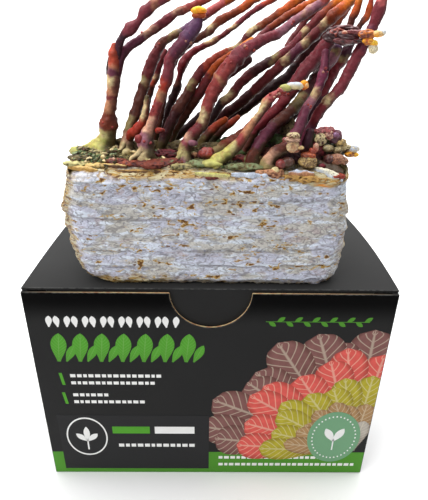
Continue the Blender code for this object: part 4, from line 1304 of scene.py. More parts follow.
KNOBS: dict[str, tuple[Lobe, ...]] = {
    "folded_cap": (
        Lobe((79, -46, 337), (20, 17, 8), Tone.DARK, Tone.MAROON_DARK, 0.25, 0.4, 3.4, 0.2, 3.0),
        Lobe((77, -36, 338.5), (14, 12, 8), Tone.DARK, Tone.MAROON_DARK, 0.25, 0.35, 4.0),
        Lobe((79.5, -44, 341.2), (16, 13, 5), Tone.MAROON_DARK, Tone.MAROON, 0.3, 0.4, 3.2, 0.3, 3.0),
        Lobe((74, -49, 339.6), (8, 6, 5), Tone.MAROON_DARK, Tone.BRICK, 0.3, 0.3, 2.4, 0.3, 2.0),
        Lobe((77.6, -53, 339.4), (4, 3, 2.4), Tone.BRICK, Tone.CREAM_PINK, 0.2, 0.1, 2.0, 0.5),
        Lobe((84, -53, 340), (12, 4, 3), Tone.MAROON, Tone.BRICK_ROSE, 0.3, 0.4, 2.0, 0.3, 2.0),
        Lobe((81, -52, 335.2), (16, 7, 4), Tone.DARK, Tone.MAROON, 0.25, 0.45, 2.0, 0.3, 3.0),
        Lobe((90, -56, 338.6), (10, 6, 5.5), Tone.RUST, Tone.ORANGE, 0.2, 0.25, 2.0, 0.5, 2.0),
        Lobe((96, -57, 339), (8, 5, 4), Tone.AMBER, Tone.CREAM, 0.2, 0.1, 3.0, 0.6),
        Lobe((99, -57, 339.6), (3.6, 4, 3.4), Tone.IVORY, Tone.BLUE_WHITE, 0.15),
        Lobe((91, -57, 335), (7, 5, 4), Tone.BURNT_ORANGE, Tone.AMBER, 0.2, 0.15, 3.0),
        Lobe((94.4, -57.4, 334), (5, 4.6, 4), Tone.AMBER, Tone.YELLOW, 0.2),
        Lobe((94.6, -57.2, 331.4), (6, 5, 6), Tone.CREAM, Tone.IVORY, 0.15),
    ),
    "cream_stem_knob": (
        Lobe((48.6, -73.2, 280.6), (9.6, 8, 3.4), Tone.BARK, Tone.CREAM_PINK, 0.18, 0.3, 1.8, 0.4, 2.0),
        Lobe((49, -73.2, 276.6), (7.8, 7, 8), Tone.TAN, Tone.CREAM, 0.14, 0.11, 3.0),
        Lobe((48.9, -73, 283), (7.4, 7, 3.4), Tone.RUST, Tone.CREAM, 0.2, 0.35, 1.6, 0.6, 1.5),
        Lobe((44.4, -72.5, 280.4), (3.8, 4, 3), Tone.RUST, Tone.BRICK_ROSE, 0.2, 0.2, 2.0),
        Lobe((53.4, -74.5, 276), (4.4, 3.4, 2.2), Tone.TAN, Tone.GOLD, 0.2, 0.2, 2.0),
        Lobe((50.8, -74, 274), (5, 4, 2.2), Tone.RUST, Tone.TAN, 0.2, 0.2, 1.4),
    ),
    "orange_topped_knob": (
        Lobe((60.6, -67.5, 265.6), (11.4, 9.5, 8.6), Tone.BARK, Tone.GOLD, 0.12, 0.24, 1.3, 0.1),
        Lobe((60.6, -66.8, 269.2), (9.6, 8, 5), Tone.RUST, Tone.BURNT_ORANGE, 0.14, 0.2, 1.6, 0.5),
        Lobe((63, -66.4, 271.6), (5, 4.6, 5), Tone.RUST, Tone.BRICK, 0.14, 0.1, 2.0),
        Lobe((65, -66, 274.2), (4, 3.8, 6), Tone.BRICK, Tone.CREAM_PINK, 0.1, 0.05, 2.0),
    ),
    "brown_knob": (
        Lobe((47.5, -68.5, 265.2), (9, 7, 6.5), Tone.OLIVE_DARK, Tone.UMBER, 0.15, 0.1, 3.0),
        Lobe((43.5, -69.5, 264.5), (7, 6, 6), Tone.UMBER, Tone.BRICK_ROSE, 0.15, 0.1, 3.0),
    ),
    "dark_red_knob": (
        Lobe((-3.5, -60, 268.8), (10, 8, 7), Tone.MAROON_DARK, Tone.SCARLET, 0.25, 0.12, 3.4, 0.5),
        Lobe((-7.5, -59, 267.5), (5, 5, 5), Tone.MAROON_DARK, Tone.WINE, 0.12, 0.05, 3.0),
    ),
    "right_cluster": (
        Lobe((79, -52, 269.5), (20, 13, 11), Tone.DARK, Tone.MOSS, 0.2, 0.3, 2.4),
        Lobe((71.6, -57, 282.2), (12, 8, 6.4), Tone.DARK, Tone.ROSE, 0.3, 0.5, 2.2, 0.3),
        Lobe((69.6, -59, 278.4), (8, 6.4, 7.4), Tone.MAROON_DARK, Tone.CREAM, 0.3, 0.4, 2.3, 0.2),
        Lobe((73.6, -60, 281), (6, 5, 5), Tone.WINE, Tone.CREAM_PINK, 0.3, 0.4, 2.0, 0.2),
        Lobe((78.8, -57, 279.4), (9, 8, 8.6), Tone.PLUM_DARK, Tone.PLUM, 0.2, 0.1, 3.0, 0.4),
        Lobe((78.4, -60, 280.8), (5, 3.6, 4), Tone.PLUM, Tone.LILAC, 0.15, 0.0, 3.0, 0.5),
        Lobe((82.4, -58, 275.8), (7.4, 6, 5.6), Tone.OLIVE, Tone.GOLD, 0.3, 0.3, 1.9, 0.3),
        Lobe((74.6, -60, 272.4), (7.6, 4.4, 5), Tone.OLIVE, Tone.CREAM, 0.1, 0.0, 3.0, 0.6),
        Lobe((81, -59.6, 271.6), (6.4, 4.6, 4.4), Tone.OLIVE, Tone.CREAM, 0.2, 0.3, 1.6, 0.5),
        Lobe((86, -57.4, 272.4), (8, 5.5, 4.4), Tone.OLIVE, Tone.CREAM, 0.2, 0.4, 1.6, 0.5),
        Lobe((91.4, -57, 271.4), (8.6, 5.5, 4.6), Tone.CREAM, Tone.BLUE_WHITE, 0.16, 0.2, 1.8, 0.5),
        Lobe((89.4, -58.4, 268.4), (7, 4.5, 3.6), Tone.RUST, Tone.AMBER, 0.16, 0.2, 1.6),
        Lobe((93.4, -58, 268.2), (4, 4, 3), Tone.AMBER, Tone.YELLOW, 0.12),
    ),
    "striped_knob": (
        Lobe((74.6, -64.5, 266.6), (7, 7, 6), Tone.DARK, Tone.UMBER, 0.1, 0.2, 2.0),
        Lobe((79.4, -64.5, 266.7), (10, 7, 6.6), Tone.RUST, Tone.TAN, 0.1, 0.3, 1.4, 0.2, 0.6),
        Lobe((84, -64.5, 265.6), (6, 6, 5), Tone.BARK, Tone.TAN, 0.1, 0.4, 1.2, 0.2, 0.6),
    ),
}


@dataclass
class YoungGrowth:
    """The knobs, the cluster and the folded cap: lobes with crinkled, warty skin."""

    shop: FinishShop
    detail: int = 5

    def build(self) -> None:
        """Builds every knob as its own piece."""
        for node, lobes in KNOBS.items():
            draft = Draft()
            for lobe in lobes:
                add_lobe(draft, lobe, self.detail)
            draft.finish(f"{node}_skin", Slot.YOUNG, self.shop.material(Finish.YOUNG), (node,))


@dataclass
class MyceliumBlock:
    """The block: a fine cage on the CAD block's outline, with level ledges, creases and an olive crust."""

    shop: FinishShop
    cells: tuple[int, int, int] = (160, 84, 84)
    front: float = -76
    back: float = 45
    foot: float = 180.4
    # Each row: a height, and where the block's left and right ends are there.
    ends: tuple[Spot, ...] = (
        (180, -79, 84), (185, -88, 88), (191, -93, 90), (205, -96, 91), (222, -99, 91), (240, -98, 89),
        (258, -93, 87), (268, -91, 86),
    )
    # The crust's height from front to back.
    crust_profile: tuple[Spread, ...] = (
        (-76, 255), (-73, 258), (-68, 261), (-60, 264), (-45, 266), (-25, 264), (0, 260), (25, 256),
        (38, 253), (45, 248),
    )
    # The height of the stained rim's lower edge from left to right.
    rim_foot: tuple[Spread, ...] = (
        (-96, 260), (-86, 259.5), (-70, 257.5), (-55, 254.5), (-39, 255), (-22, 255.3), (-3, 256), (14, 256),
        (40, 257.2), (56, 254), (75, 251), (84, 254), (92, 258),
    )
    corner_cut: float = 5
    foot_cut: float = 2.5
    ledge_depth: float = 2.6
    ledge_pitch: float = 11.5
    end_shift: float = 300

    def crust_height(self, x: float, y: float) -> float:
        """The height of the crust at a place."""
        lump = noise.noise(Vector((x * 0.06, y * 0.07, 2.3)))
        return between(self.crust_profile, y, 1) + 1.4 * lump

    def ledge(self, x: float, z: float) -> tuple[float, float, float]:
        """The level ledges of a wall, each with a painted highlight along its upper edge over a step in
        painted shade.

        Args:
            x: The place along the wall.
            z: The place's height.

        Returns:
            How far the wall stands out, how much painted shade its step gets and how much painted highlight
            its upper edge gets.
        """
        drift = 0.34 * noise.noise(Vector((x * 0.02, 3.1, 4.1)))
        drift += 0.12 * noise.noise(Vector((x * 0.09, 8.2, 1.1)))
        row, share = divmod(z / self.ledge_pitch + drift, 1.0)
        held = smoothstep(-0.15, 0.25, noise.noise(Vector((x * 0.022 + row * 5.3, row * 2.7, 0.4))))
        lump = noise.noise(Vector((x * 0.035, z * 0.09, 9.7)))
        out = self.ledge_depth * (held * (0.62 - share) + 0.6 * lump)
        return out, held * smoothstep(0.78, 0.98, share), held * smoothstep(0.2, 0.04, share)

    @staticmethod
    def nearness(at: float, start: float) -> float:
        """Runs from 0 at the start to 1 at the cage's edge."""
        return max(0.0, at - start) / (1 - start)

    def shape(self, cage: Vector) -> Vector:
        """Moves a point of the cage, which runs from -1 to 1, to its place on the block."""
        across, back, up = cage
        y = (self.front + self.back) / 2 + (self.back - self.front) / 2 * back
        z = self.foot + (up + 1) / 2 * (between(self.crust_profile, y, 1) - self.foot)
        left, right = between(self.ends, z, 1), between(self.ends, z, 2)
        x = (left + right) / 2 + (right - left) / 2 * across
        end_near, wall_near = self.nearness(abs(across), 0.82), self.nearness(abs(back), 0.76)
        corner = self.corner_cut * (end_near * wall_near) ** 2
        x -= math.copysign(corner, across)
        y -= math.copysign(corner, back)
        wall, end = smoothstep(0.93, 1.0, abs(back)), smoothstep(0.96, 1.0, abs(across))
        y -= math.copysign(self.foot_cut * wall * self.nearness(-up, 0.72) ** 2, back)
        inner = smoothstep(1.0, 0.95, up) * smoothstep(-1.0, -0.96, up)
        y += math.copysign(self.ledge(x, z)[0], back) * wall * inner
        x += math.copysign(self.ledge(y + self.end_shift, z)[0], across) * end * inner
        if up > 0.999:
            z = self.crust_height(x, y) - 5 * end_near**2
        return Vector((x, y, z))

    def build(self) -> None:
        """Builds the block."""
        draft = Draft(("crease_shade", "lip_highlight", "ochre", "rust", "crust"))
        self.add_cage(draft.bm)
        for vert in draft.bm.verts:
            vert.co = self.shape(vert.co.copy())
        draft.bm.normal_update()
        moves = [(vert, self.relief(draft, vert)) for vert in draft.bm.verts]
        for vert, move in moves:
            vert.co += move
        draft.finish("block_skin", Slot.MYCELIUM, self.shop.material(Finish.MYCELIUM), ("mycelium_block",))

    def add_cage(self, bm: bmesh.types.BMesh) -> None:
        """Adds six grids that meet at the edges of a cube."""
        for axis in range(3):
            for side in (-1, 1):
                columns = [Vector((0, 0, 0)) for _ in range(3)]
                columns[0][(axis + 1) % 3] = 1
                columns[1][(axis + 2) % 3] = 1
                columns[2][axis] = side
                turn = Matrix(columns).transposed().to_4x4()
                turn.translation = columns[2]
                wide, high = self.cells[(axis + 1) % 3], self.cells[(axis + 2) % 3]
                bmesh.ops.create_grid(bm, x_segments=wide, y_segments=high, size=1, matrix=turn)
        bmesh.ops.remove_doubles(bm, verts=bm.verts, dist=1e-4)

    def relief(self, draft: Draft, vert: bmesh.types.BMVert) -> Vector:
        """How far the fine skin moves a point, and what it notes there.

        Args:
            draft: The piece.
            vert: The point.

        Returns:
            The move.
        """
        spot, out = vert.co, vert.normal
        on_top = smoothstep(0.45, 0.8, out.z)
        fold = 1 - 2 * abs(lumps(spot, (15, 15, 3.4), 3, 1.0))
        grain = lumps(spot, (3.4, 3.4, 2.2), 2, 4.0)
        path = lumps(spot, (30, 30, 6.5), 2, 7.0)
        cracked = smoothstep(0.0, 0.3, lumps(spot, (20, 20, 14), 1, 11.0))
        crease_shade = cracked * smoothstep(0.05, 0.0, abs(path))
        along = spot.x if abs(out.y) > abs(out.x) else spot.y + self.end_shift
        _, shaded, lip_highlight = self.ledge(along, spot.z)
        wall = 0.6 * fold + 0.4 * grain - 1.1 * crease_shade
        top = 1.3 * lumps(spot, 7, 3, 2.0) + 0.5 * lumps(spot, 2.2, 2, 5.0)
        low = between(self.rim_foot, spot.x, 1) + 1.6 * lumps(spot, (9, 9, 5), 3, 8.0)
        lit = smoothstep(-64.0, -71.0, spot.y + 4 * lumps(spot, (7, 7, 7), 2, 13.0))
        rim = smoothstep(low - 0.8, low + 0.8, spot.z) * max(1 - on_top, lit)
        under = smoothstep(-0.6, -0.9, out.z)
        height = wall * (1 - on_top) * (1 - 0.5 * rim) + top * on_top
        height += rim * lumps(spot, (9, 9, 2.4), 3, 6.0)
        rusty = smoothstep(-0.1, 0.3, lumps(spot, (18, 18, 9), 2, 3.0))
        rusty *= smoothstep(1.6, 0.4, abs(spot.z - low - 1.2))
        free = (1 - on_top) * (1 - rim)
        corner = smoothstep(76, 86, spot.x + 4 * grain) * smoothstep(236, 246, spot.z)
        noted = {
            # Painted shade in the cracks and under the ledges; painted highlight along the ledges' upper
            # edges, with a pale upper right corner.
            "crease_shade": max(crease_shade, shaded) * free,
            "lip_highlight": max(lip_highlight, corner) * free,
            "rust": rusty * (1 - on_top),
            "crust": on_top * (1 - lit),
            "ochre": max(rim, self.edge_stain(spot), 0.6 * under),
        }
        for name, value in noted.items():
            vert[draft.values[name]] = value
        return out * height * (1 - under)

    def edge_stain(self, spot: Vector) -> float:
        """How ochre the block's left end, its lower right edge and its foot are."""
        ragged = lumps(spot, (9, 9, 7), 3, 12.0)
        left, right = between(self.ends, spot.z, 1), between(self.ends, spot.z, 2)
        edge = smoothstep(9, 3, spot.x - left + 6 * ragged)
        edge *= 1 - 0.6 * smoothstep(-54, -34, spot.y + 12 * ragged)
        far_edge = smoothstep(5, 0, right - spot.x + 6 * ragged) * smoothstep(246, 236, spot.z)
        edge = max(edge, 0.6 * far_edge)
        foot = smoothstep(190, 183, spot.z + 5 * ragged) * smoothstep(0.0, -45.0, spot.x)
        foot = max(foot, 0.6 * smoothstep(184, 181, spot.z + 4 * ragged))
        return max(0.85 * edge, foot)


@dataclass(frozen=True)
class Sheet:
    """A thin curled sheet on the rim: its ends, how far it reaches and curls, its foot's and edge's tones."""

    start: Spot
    stop: Spot
    reach: float
    curl: tuple[float, float]
    low: Tone
    high: Tone


@dataclass
class CrustLitter:
    """What lies between the roots: chips, mats, moss, dark mounds that stand in for the shadow between the
    roots, lumps along the front rim, and curled sheets.
    """

    shop: FinishShop
    block: MyceliumBlock
    chip_count: int = 950
    crowded_share: float = 0.45
    crowd: tuple[Spread, Spread] = ((-90, -62), (-66, -40))
    strewn: tuple[Spread, Spread] = ((-84, 80), (-70, 36))
    seed: int = 11
    crinkle: float = 0.3
    grain: float = 2.8
    large_mat: float = 12
    sheet_thickness: float = 0.7
    chip_smooth: float = 40.0

    # Each mat's middle is given as x, y and its lift above the crust. The tall dark mounds among them stand
    # between the roots as painted shadow.
    MATS: tuple[Lobe, ...] = (
        Lobe((-84, -57, -0.5), (20, 14, 5), Tone.OLIVE_DARK, Tone.OLIVE),
        Lobe((-63, -29, 0), (10, 7, 7), Tone.OLIVE_DARK, Tone.MOSS),
        Lobe((-31, -33, 0), (8, 6, 7), Tone.OLIVE_DARK, Tone.MOSS),
        Lobe((1, -31, 0), (11, 6, 7), Tone.OLIVE_DARK, Tone.MOSS),
        Lobe((19, -49, 0), (7, 5, 5), Tone.OLIVE_DARK, Tone.MOSS),
        Lobe((-86, -64, -0.5), (18, 8, 4), Tone.OLIVE, Tone.CREAM_GREEN),
        Lobe((-72, -66, -0.6), (16, 7, 3.6), Tone.OLIVE, Tone.GOLD),
        Lobe((-76, -51, 0), (16, 12, 5), Tone.OLIVE_DARK, Tone.OLIVE_CREAM),
        # Dark mound: painted shadow between the roots.
        Lobe((-63, -37, 1), (13, 9, 13), Tone.DARK, Tone.OLIVE),
        Lobe((-62, -62, 0), (15, 8, 4), Tone.MAROON_DARK, Tone.RUST),
        Lobe((-56, -65, 0), (12, 6, 3.6), Tone.MAROON_DARK, Tone.RUST),
        Lobe((-51, -64, 0), (14, 10, 4.6), Tone.MAROON_DARK, Tone.BROWN_ORANGE),
        Lobe((-38, -64, -0.5), (30, 15, 5), Tone.MAROON_DARK, Tone.RUST, 0.35),
        Lobe((-26, -62, 0), (16, 9, 5.5), Tone.MAROON_DARK, Tone.RUST, 0.3),
        Lobe((-32, -52, 0), (20, 10, 7), Tone.MAROON_DARK, Tone.WINE, 0.3),
        # Dark mounds: painted shadow between the roots.
        Lobe((-46, -38, 1), (20, 12, 12), Tone.DARK, Tone.OLIVE),
        Lobe((-22, -43, 1), (20, 10, 11), Tone.DARK, Tone.OLIVE),
        Lobe((-20, -67, 0), (16, 7, 4), Tone.OLIVE_DARK, Tone.OLIVE_CREAM),
        Lobe((-9, -64, 0.2), (17, 10, 4.5), Tone.OLIVE, Tone.SAGE),
        # Dark mound: painted shadow between the roots.
        Lobe((2, -46, 1), (24, 12, 13), Tone.DARK, Tone.OLIVE),
        Lobe((20, -67, 0.4), (23, 10, 5), Tone.OLIVE, Tone.SAGE),
        Lobe((26, -60, 0), (12, 8, 7), Tone.DARK, Tone.OLIVE_CREAM),
        Lobe((18, -59, 0), (9, 7, 6), Tone.DARK, Tone.BRICK_ROSE),
        Lobe((33, -71, -1), (12, 6, 6), Tone.BARK, Tone.TAN, 0.3),
        Lobe((39, -71.5, 0), (13, 7, 7), Tone.UMBER, Tone.TAN, 0.3),
        Lobe((39.6, -72, 2.6), (6, 5, 4), Tone.OCHRE, Tone.CREAM, 0.15),
        Lobe((50, -73, -1), (15, 6, 5), Tone.BARK, Tone.OCHRE, 0.3, 0.5, 1.6, 0.3, 3.0),
        Lobe((61, -73.5, -2), (18, 6, 5), Tone.BARK, Tone.OCHRE, 0.3, 0.5, 1.6, 0.3, 3.0),
        Lobe((68, -72, -3), (14, 7, 5), Tone.RUST, Tone.OCHRE, 0.3, 0.5, 1.6, 0.3, 3.0),
        Lobe((80, -71, -1.6), (9, 5, 3.4), Tone.MAROON_DARK, Tone.BRICK, 0.3, 0.5, 1.4, 0.2),
        Lobe((0, -74.6, -0.4), (8, 3, 2.6), Tone.MAROON_DARK, Tone.RUST, 0.3),
        # Dark mounds: painted shadow between the roots.
        Lobe((22, -34, 3), (36, 18, 18), Tone.DARK, Tone.MOSS, 0.25, 0.3, 2.4),
        Lobe((44, -46, 4), (24, 14, 18), Tone.DARK, Tone.MOSS, 0.25, 0.3, 2.4),
        Lobe((51, -45, 12), (13, 9, 22), Tone.DARK, Tone.OLIVE, 0.25, 0.4, 2.0),
        Lobe((60, -40, 5), (28, 16, 20), Tone.DARK, Tone.MOSS, 0.25, 0.3, 2.4),
        Lobe((74, -44, 4), (22, 16, 18), Tone.DARK, Tone.MOSS, 0.25, 0.3, 2.4),
        Lobe((36, -54, 1), (22, 12, 10), Tone.DARK, Tone.UMBER, 0.25),
        Lobe((56, -60, 1), (26, 10, 9), Tone.DARK, Tone.MAROON_DARK, 0.25),
        Lobe((66, -57, 5), (14, 8, 16), Tone.DARK, Tone.WINE, 0.25),
        Lobe((-70, -20, 0), (30, 26, 7), Tone.OLIVE_DARK, Tone.OLIVE_CREAM),
        # Dark mounds: painted shadow behind the roots.
        Lobe((-30, -12, 0), (44, 22, 8), Tone.DARK, Tone.OLIVE),
        Lobe((30, -4, 0), (50, 26, 9), Tone.DARK, Tone.OLIVE),
        Lobe((-40, 18, 0), (46, 22, 6), Tone.OLIVE_DARK, Tone.OLIVE_CREAM),
        Lobe((50, 24, 0), (40, 20, 6), Tone.BARK, Tone.OCHRE),
        Lobe((0, 30, 0), (38, 14, 6), Tone.OLIVE, Tone.SAGE),
        Lobe((-70, -61, 1.6), (4, 4, 4), Tone.OCHRE, Tone.CREAM),
        Lobe((-64, -63, 1.4), (5, 4, 4), Tone.RUST, Tone.CREAM_PINK),
        Lobe((-47, -66, 0.8), (3, 2.4, 2), Tone.RUST, Tone.CREAM_PINK),
        Lobe((-43, -68, 1.0), (2.6, 2.4, 2), Tone.RUST, Tone.ROSE),
        Lobe((-37, -66, 1.2), (4, 3.4, 2.6), Tone.MAROON_DARK, Tone.ROSE),
        Lobe((-12, -57, 2), (5, 4, 4), Tone.MAROON_DARK, Tone.TAN),
        Lobe((70, -67, 1.6), (4.4, 3, 3), Tone.WINE, Tone.PLUM_RED),
    )
    SHEETS: tuple[Sheet, ...] = (
        Sheet((66, -62, 263.5), (84, -66, 258.5), 4.2, (-30, 130), Tone.GREY_BARK, Tone.BARK),
        Sheet((65, -67, 261), (83, -71, 256), 3.4, (-60, 60), Tone.BLUE_WHITE, Tone.IVORY),
        Sheet((12, -72.5, 258.6), (36, -72.5, 258), 2.2, (-40, 50), Tone.BLUE_WHITE, Tone.BLUE_WHITE),
        Sheet((48, -72, 259.6), (64, -72, 259), 2.2, (-30, 80), Tone.TAN, Tone.BLUE_WHITE),
        Sheet((-11, -73, 259), (11, -74, 258), 1.8, (-20, 50), Tone.CREAM_GREEN, Tone.LIME),
        Sheet((-92, -66, 260.2), (-72, -71, 259.6), 1.8, (-30, 80), Tone.OCHRE, Tone.GOLD),
        Sheet((-74, -66, 261.5), (-54, -68, 261.5), 1.6, (-20, 90), Tone.BARK, Tone.GOLD),
        Sheet((-60, -70, 259), (-36, -71, 259), 1.4, (-30, 60), Tone.BARK, Tone.OCHRE),
        Sheet((-40, -70, 259.5), (-20, -71, 259), 1.2, (-30, 70), Tone.BARK, Tone.OCHRE),
    )

    def build(self) -> None:
        """Builds the mats, the chips and the sheets."""
        mats = Draft()
        for lobe in self.MATS:
            x, y, lift = lobe.centre
            raised = replace(lobe, centre=(x, y, self.block.crust_height(x, y) + lift))
            if not raised.crinkle:
                raised = replace(raised, crinkle=self.crinkle, grain=self.grain)
            add_lobe(mats, raised, 5 if lobe.size[0] > self.large_mat else 4)
        self.finish(mats, "crust_mats_and_shadow_mounds")
        self.build_chips()
        for number, sheet in enumerate(self.SHEETS):
            self.build_sheet(sheet, number)

    def build_chips(self) -> None:
        """Small chips and crumbs scattered on the crust, as one piece."""
        chance = random.Random(self.seed)
        tones = (Tone.SAGE, Tone.CREAM, Tone.BARK, Tone.OLIVE_DARK, Tone.OLIVE_CREAM, Tone.MOSS, Tone.OLIVE)
        weights = (3, 2, 3, 6, 4, 5, 5)
        draft = Draft()
        for index in range(self.chip_count):
            across, back = self.crowd if index < self.chip_count * self.crowded_share else self.strewn
            x, y = chance.uniform(*across), chance.uniform(*back)
            self.add_chip(draft, chance, x, y, chance.choices(tones, weights)[0])
        self.finish(draft, "bark_chips", self.chip_smooth)

    def add_chip(self, draft: Draft, chance: random.Random, x: float, y: float, tone: Tone) -> None:
        """Adds one chip: a thin disc with a ragged edge, lying or leaning."""
        shape = {"cap_ends": True, "segments": 6, "radius1": 1, "radius2": 0.8, "depth": 1}
        made = bmesh.ops.create_cone(draft.bm, **shape)["verts"]
        length, width, thick = chance.uniform(0.9, 2.6), chance.uniform(0.5, 1.2), chance.uniform(0.4, 0.9)
        turn = Matrix.Rotation(chance.uniform(0, math.pi), 3, "Z")
        tilt = Matrix.Rotation(math.radians(chance.uniform(-35, 35)), 3, "X")
        lean = Matrix.Rotation(math.radians(chance.uniform(-30, 30)), 3, "Y")
        base = Vector((x, y, self.block.crust_height(x, y) + chance.uniform(0.8, 2.8)))
        colour = tone.linear() * chance.uniform(0.6, 1.3)
        for vert in made:
            ragged = 1 + chance.uniform(-0.3, 0.3)
            local = Vector((vert.co.x * length * ragged, vert.co.y * width * ragged, vert.co.z * thick))
            vert.co = base + turn @ (tilt @ (lean @ local))
            draft.tint(vert, colour)

    def build_sheet(self, sheet: Sheet, number: int) -> None:
        """Bends a thin grid into a curled sheet.

        Args:
            sheet: The sheet.
            number: Its number, which shifts its noise.
        """
        draft = Draft()
        grid = bmesh.ops.create_grid(draft.bm, x_segments=48, y_segments=12, size=1)
        low, high = sheet.low.linear(), sheet.high.linear()
        start, stop = Vector(sheet.start), Vector(sheet.stop)
        for vert in grid["verts"]:
            along, across = (vert.co.x + 1) / 2, (vert.co.y + 1) / 2
            first, last = sheet.curl
            curl = math.radians(first + (last - first) * across)
            taper = math.sin(math.pi * min(1.0, max(0.0, 0.06 + 0.88 * along))) ** 0.5
            reach = sheet.reach * taper * (1 + 0.3 * lumps(Vector((along * 5, 0, number * 3.0)), 1.0))
            vert.co = start.lerp(stop, along) + Vector((0, -reach * math.cos(curl), reach * math.sin(curl)))
            vert.co += 0.5 * lumps(vert.co, (5, 3, 3), 2, 2.0 + number) * Vector((0, -0.6, 0.8))
            tone = low.lerp(high, smoothstep(0.35, 0.85, across + 0.3 * lumps(vert.co, 3)))
            draft.tint(vert, tone * (1 + 0.25 * lumps(vert.co, 1.6, 2)))
        bmesh.ops.solidify(draft.bm, geom=draft.bm.faces[:], thickness=self.sheet_thickness)
        self.finish(draft, f"curled_sheet_{number + 1}")

    def finish(self, draft: Draft, name: str, smooth: float = 180.0) -> None:
        """Makes a piece of litter."""
        draft.finish(name, Slot.MYCELIUM, self.shop.material(Finish.LITTER), smooth=smooth)


@dataclass
class Carton:
    """The carton: the CAD's folded board with rounded folds, grey edges from wear and painted sheen, and raw
    cut edges.
    """

    shop: FinishShop
    nodes: dict[str, bpy.types.Object]
    fold: float = 0.55
    flat_angle: float = 0.3
    sharp_turn: float = 0.6
    rim: float = 177.6
    front: float = FRONT
    notch_radius: float = 28.5
    notch_height: float = 178.0
    raw_reach: float = 114.0

    def build(self) -> None:
        """Builds the tray and the lid."""
        for node, name in (("carton_body", "carton_tray"), ("carton_lid", "carton_top")):
            self.build_piece(node, name)

    def build_piece(self, node: str, name: str) -> None:
        """Rounds the folds of one CAD piece.

        Args:
            node: The CAD node.
            name: The new piece's name.
        """
        draft = Draft(("raw",))
        wear_and_sheen = draft.bm.faces.layers.float.new("wear_and_sheen")
        draft.bm.from_mesh(self.nodes[node].data)
        bmesh.ops.scale(draft.bm, vec=(1 / MM, 1 / MM, 1 / MM), verts=draft.bm.verts)
        bmesh.ops.remove_doubles(draft.bm, verts=draft.bm.verts, dist=0.01)
        flat = math.radians(self.flat_angle)
        bmesh.ops.dissolve_limit(draft.bm, angle_limit=flat, verts=draft.bm.verts, edges=draft.bm.edges)
        joined = [edge for edge in draft.bm.edges if len(edge.link_faces) == 2]
        sharp = [edge for edge in joined if edge.calc_face_angle(0) > self.sharp_turn]
        made = bmesh.ops.bevel(
            draft.bm, geom=sharp, offset=self.fold, offset_type="OFFSET", affect="EDGES", segments=3,
            profile=0.5, material=-1, clamp_overlap=True,
        )
        # The rounded folds are marked for the grey of wear and painted sheen.
        for face in made["faces"]:
            face[wear_and_sheen] = 1.0
        for vert in draft.bm.verts:
            vert[draft.values["raw"]] = self.rawness(vert.co, node)
        draft.finish(name, Slot.BOARD, self.shop.material(Finish.BOARD), (node,), smooth=35.0)

    def rawness(self, spot: Vector, node: str) -> float:
        """Whether a point is on a cut edge of the front wall."""
        if node != "carton_body" or not self.front + 0.4 <= spot.y <= self.front + 2.1:
            return 0.0
        on_rim = spot.z > self.rim - 0.4 and abs(spot.x) < self.raw_reach
        from_notch = math.hypot(spot.x, spot.z - self.notch_height)
        return 1.0 if on_rim or from_notch < self.notch_radius + 0.4 else 0.0


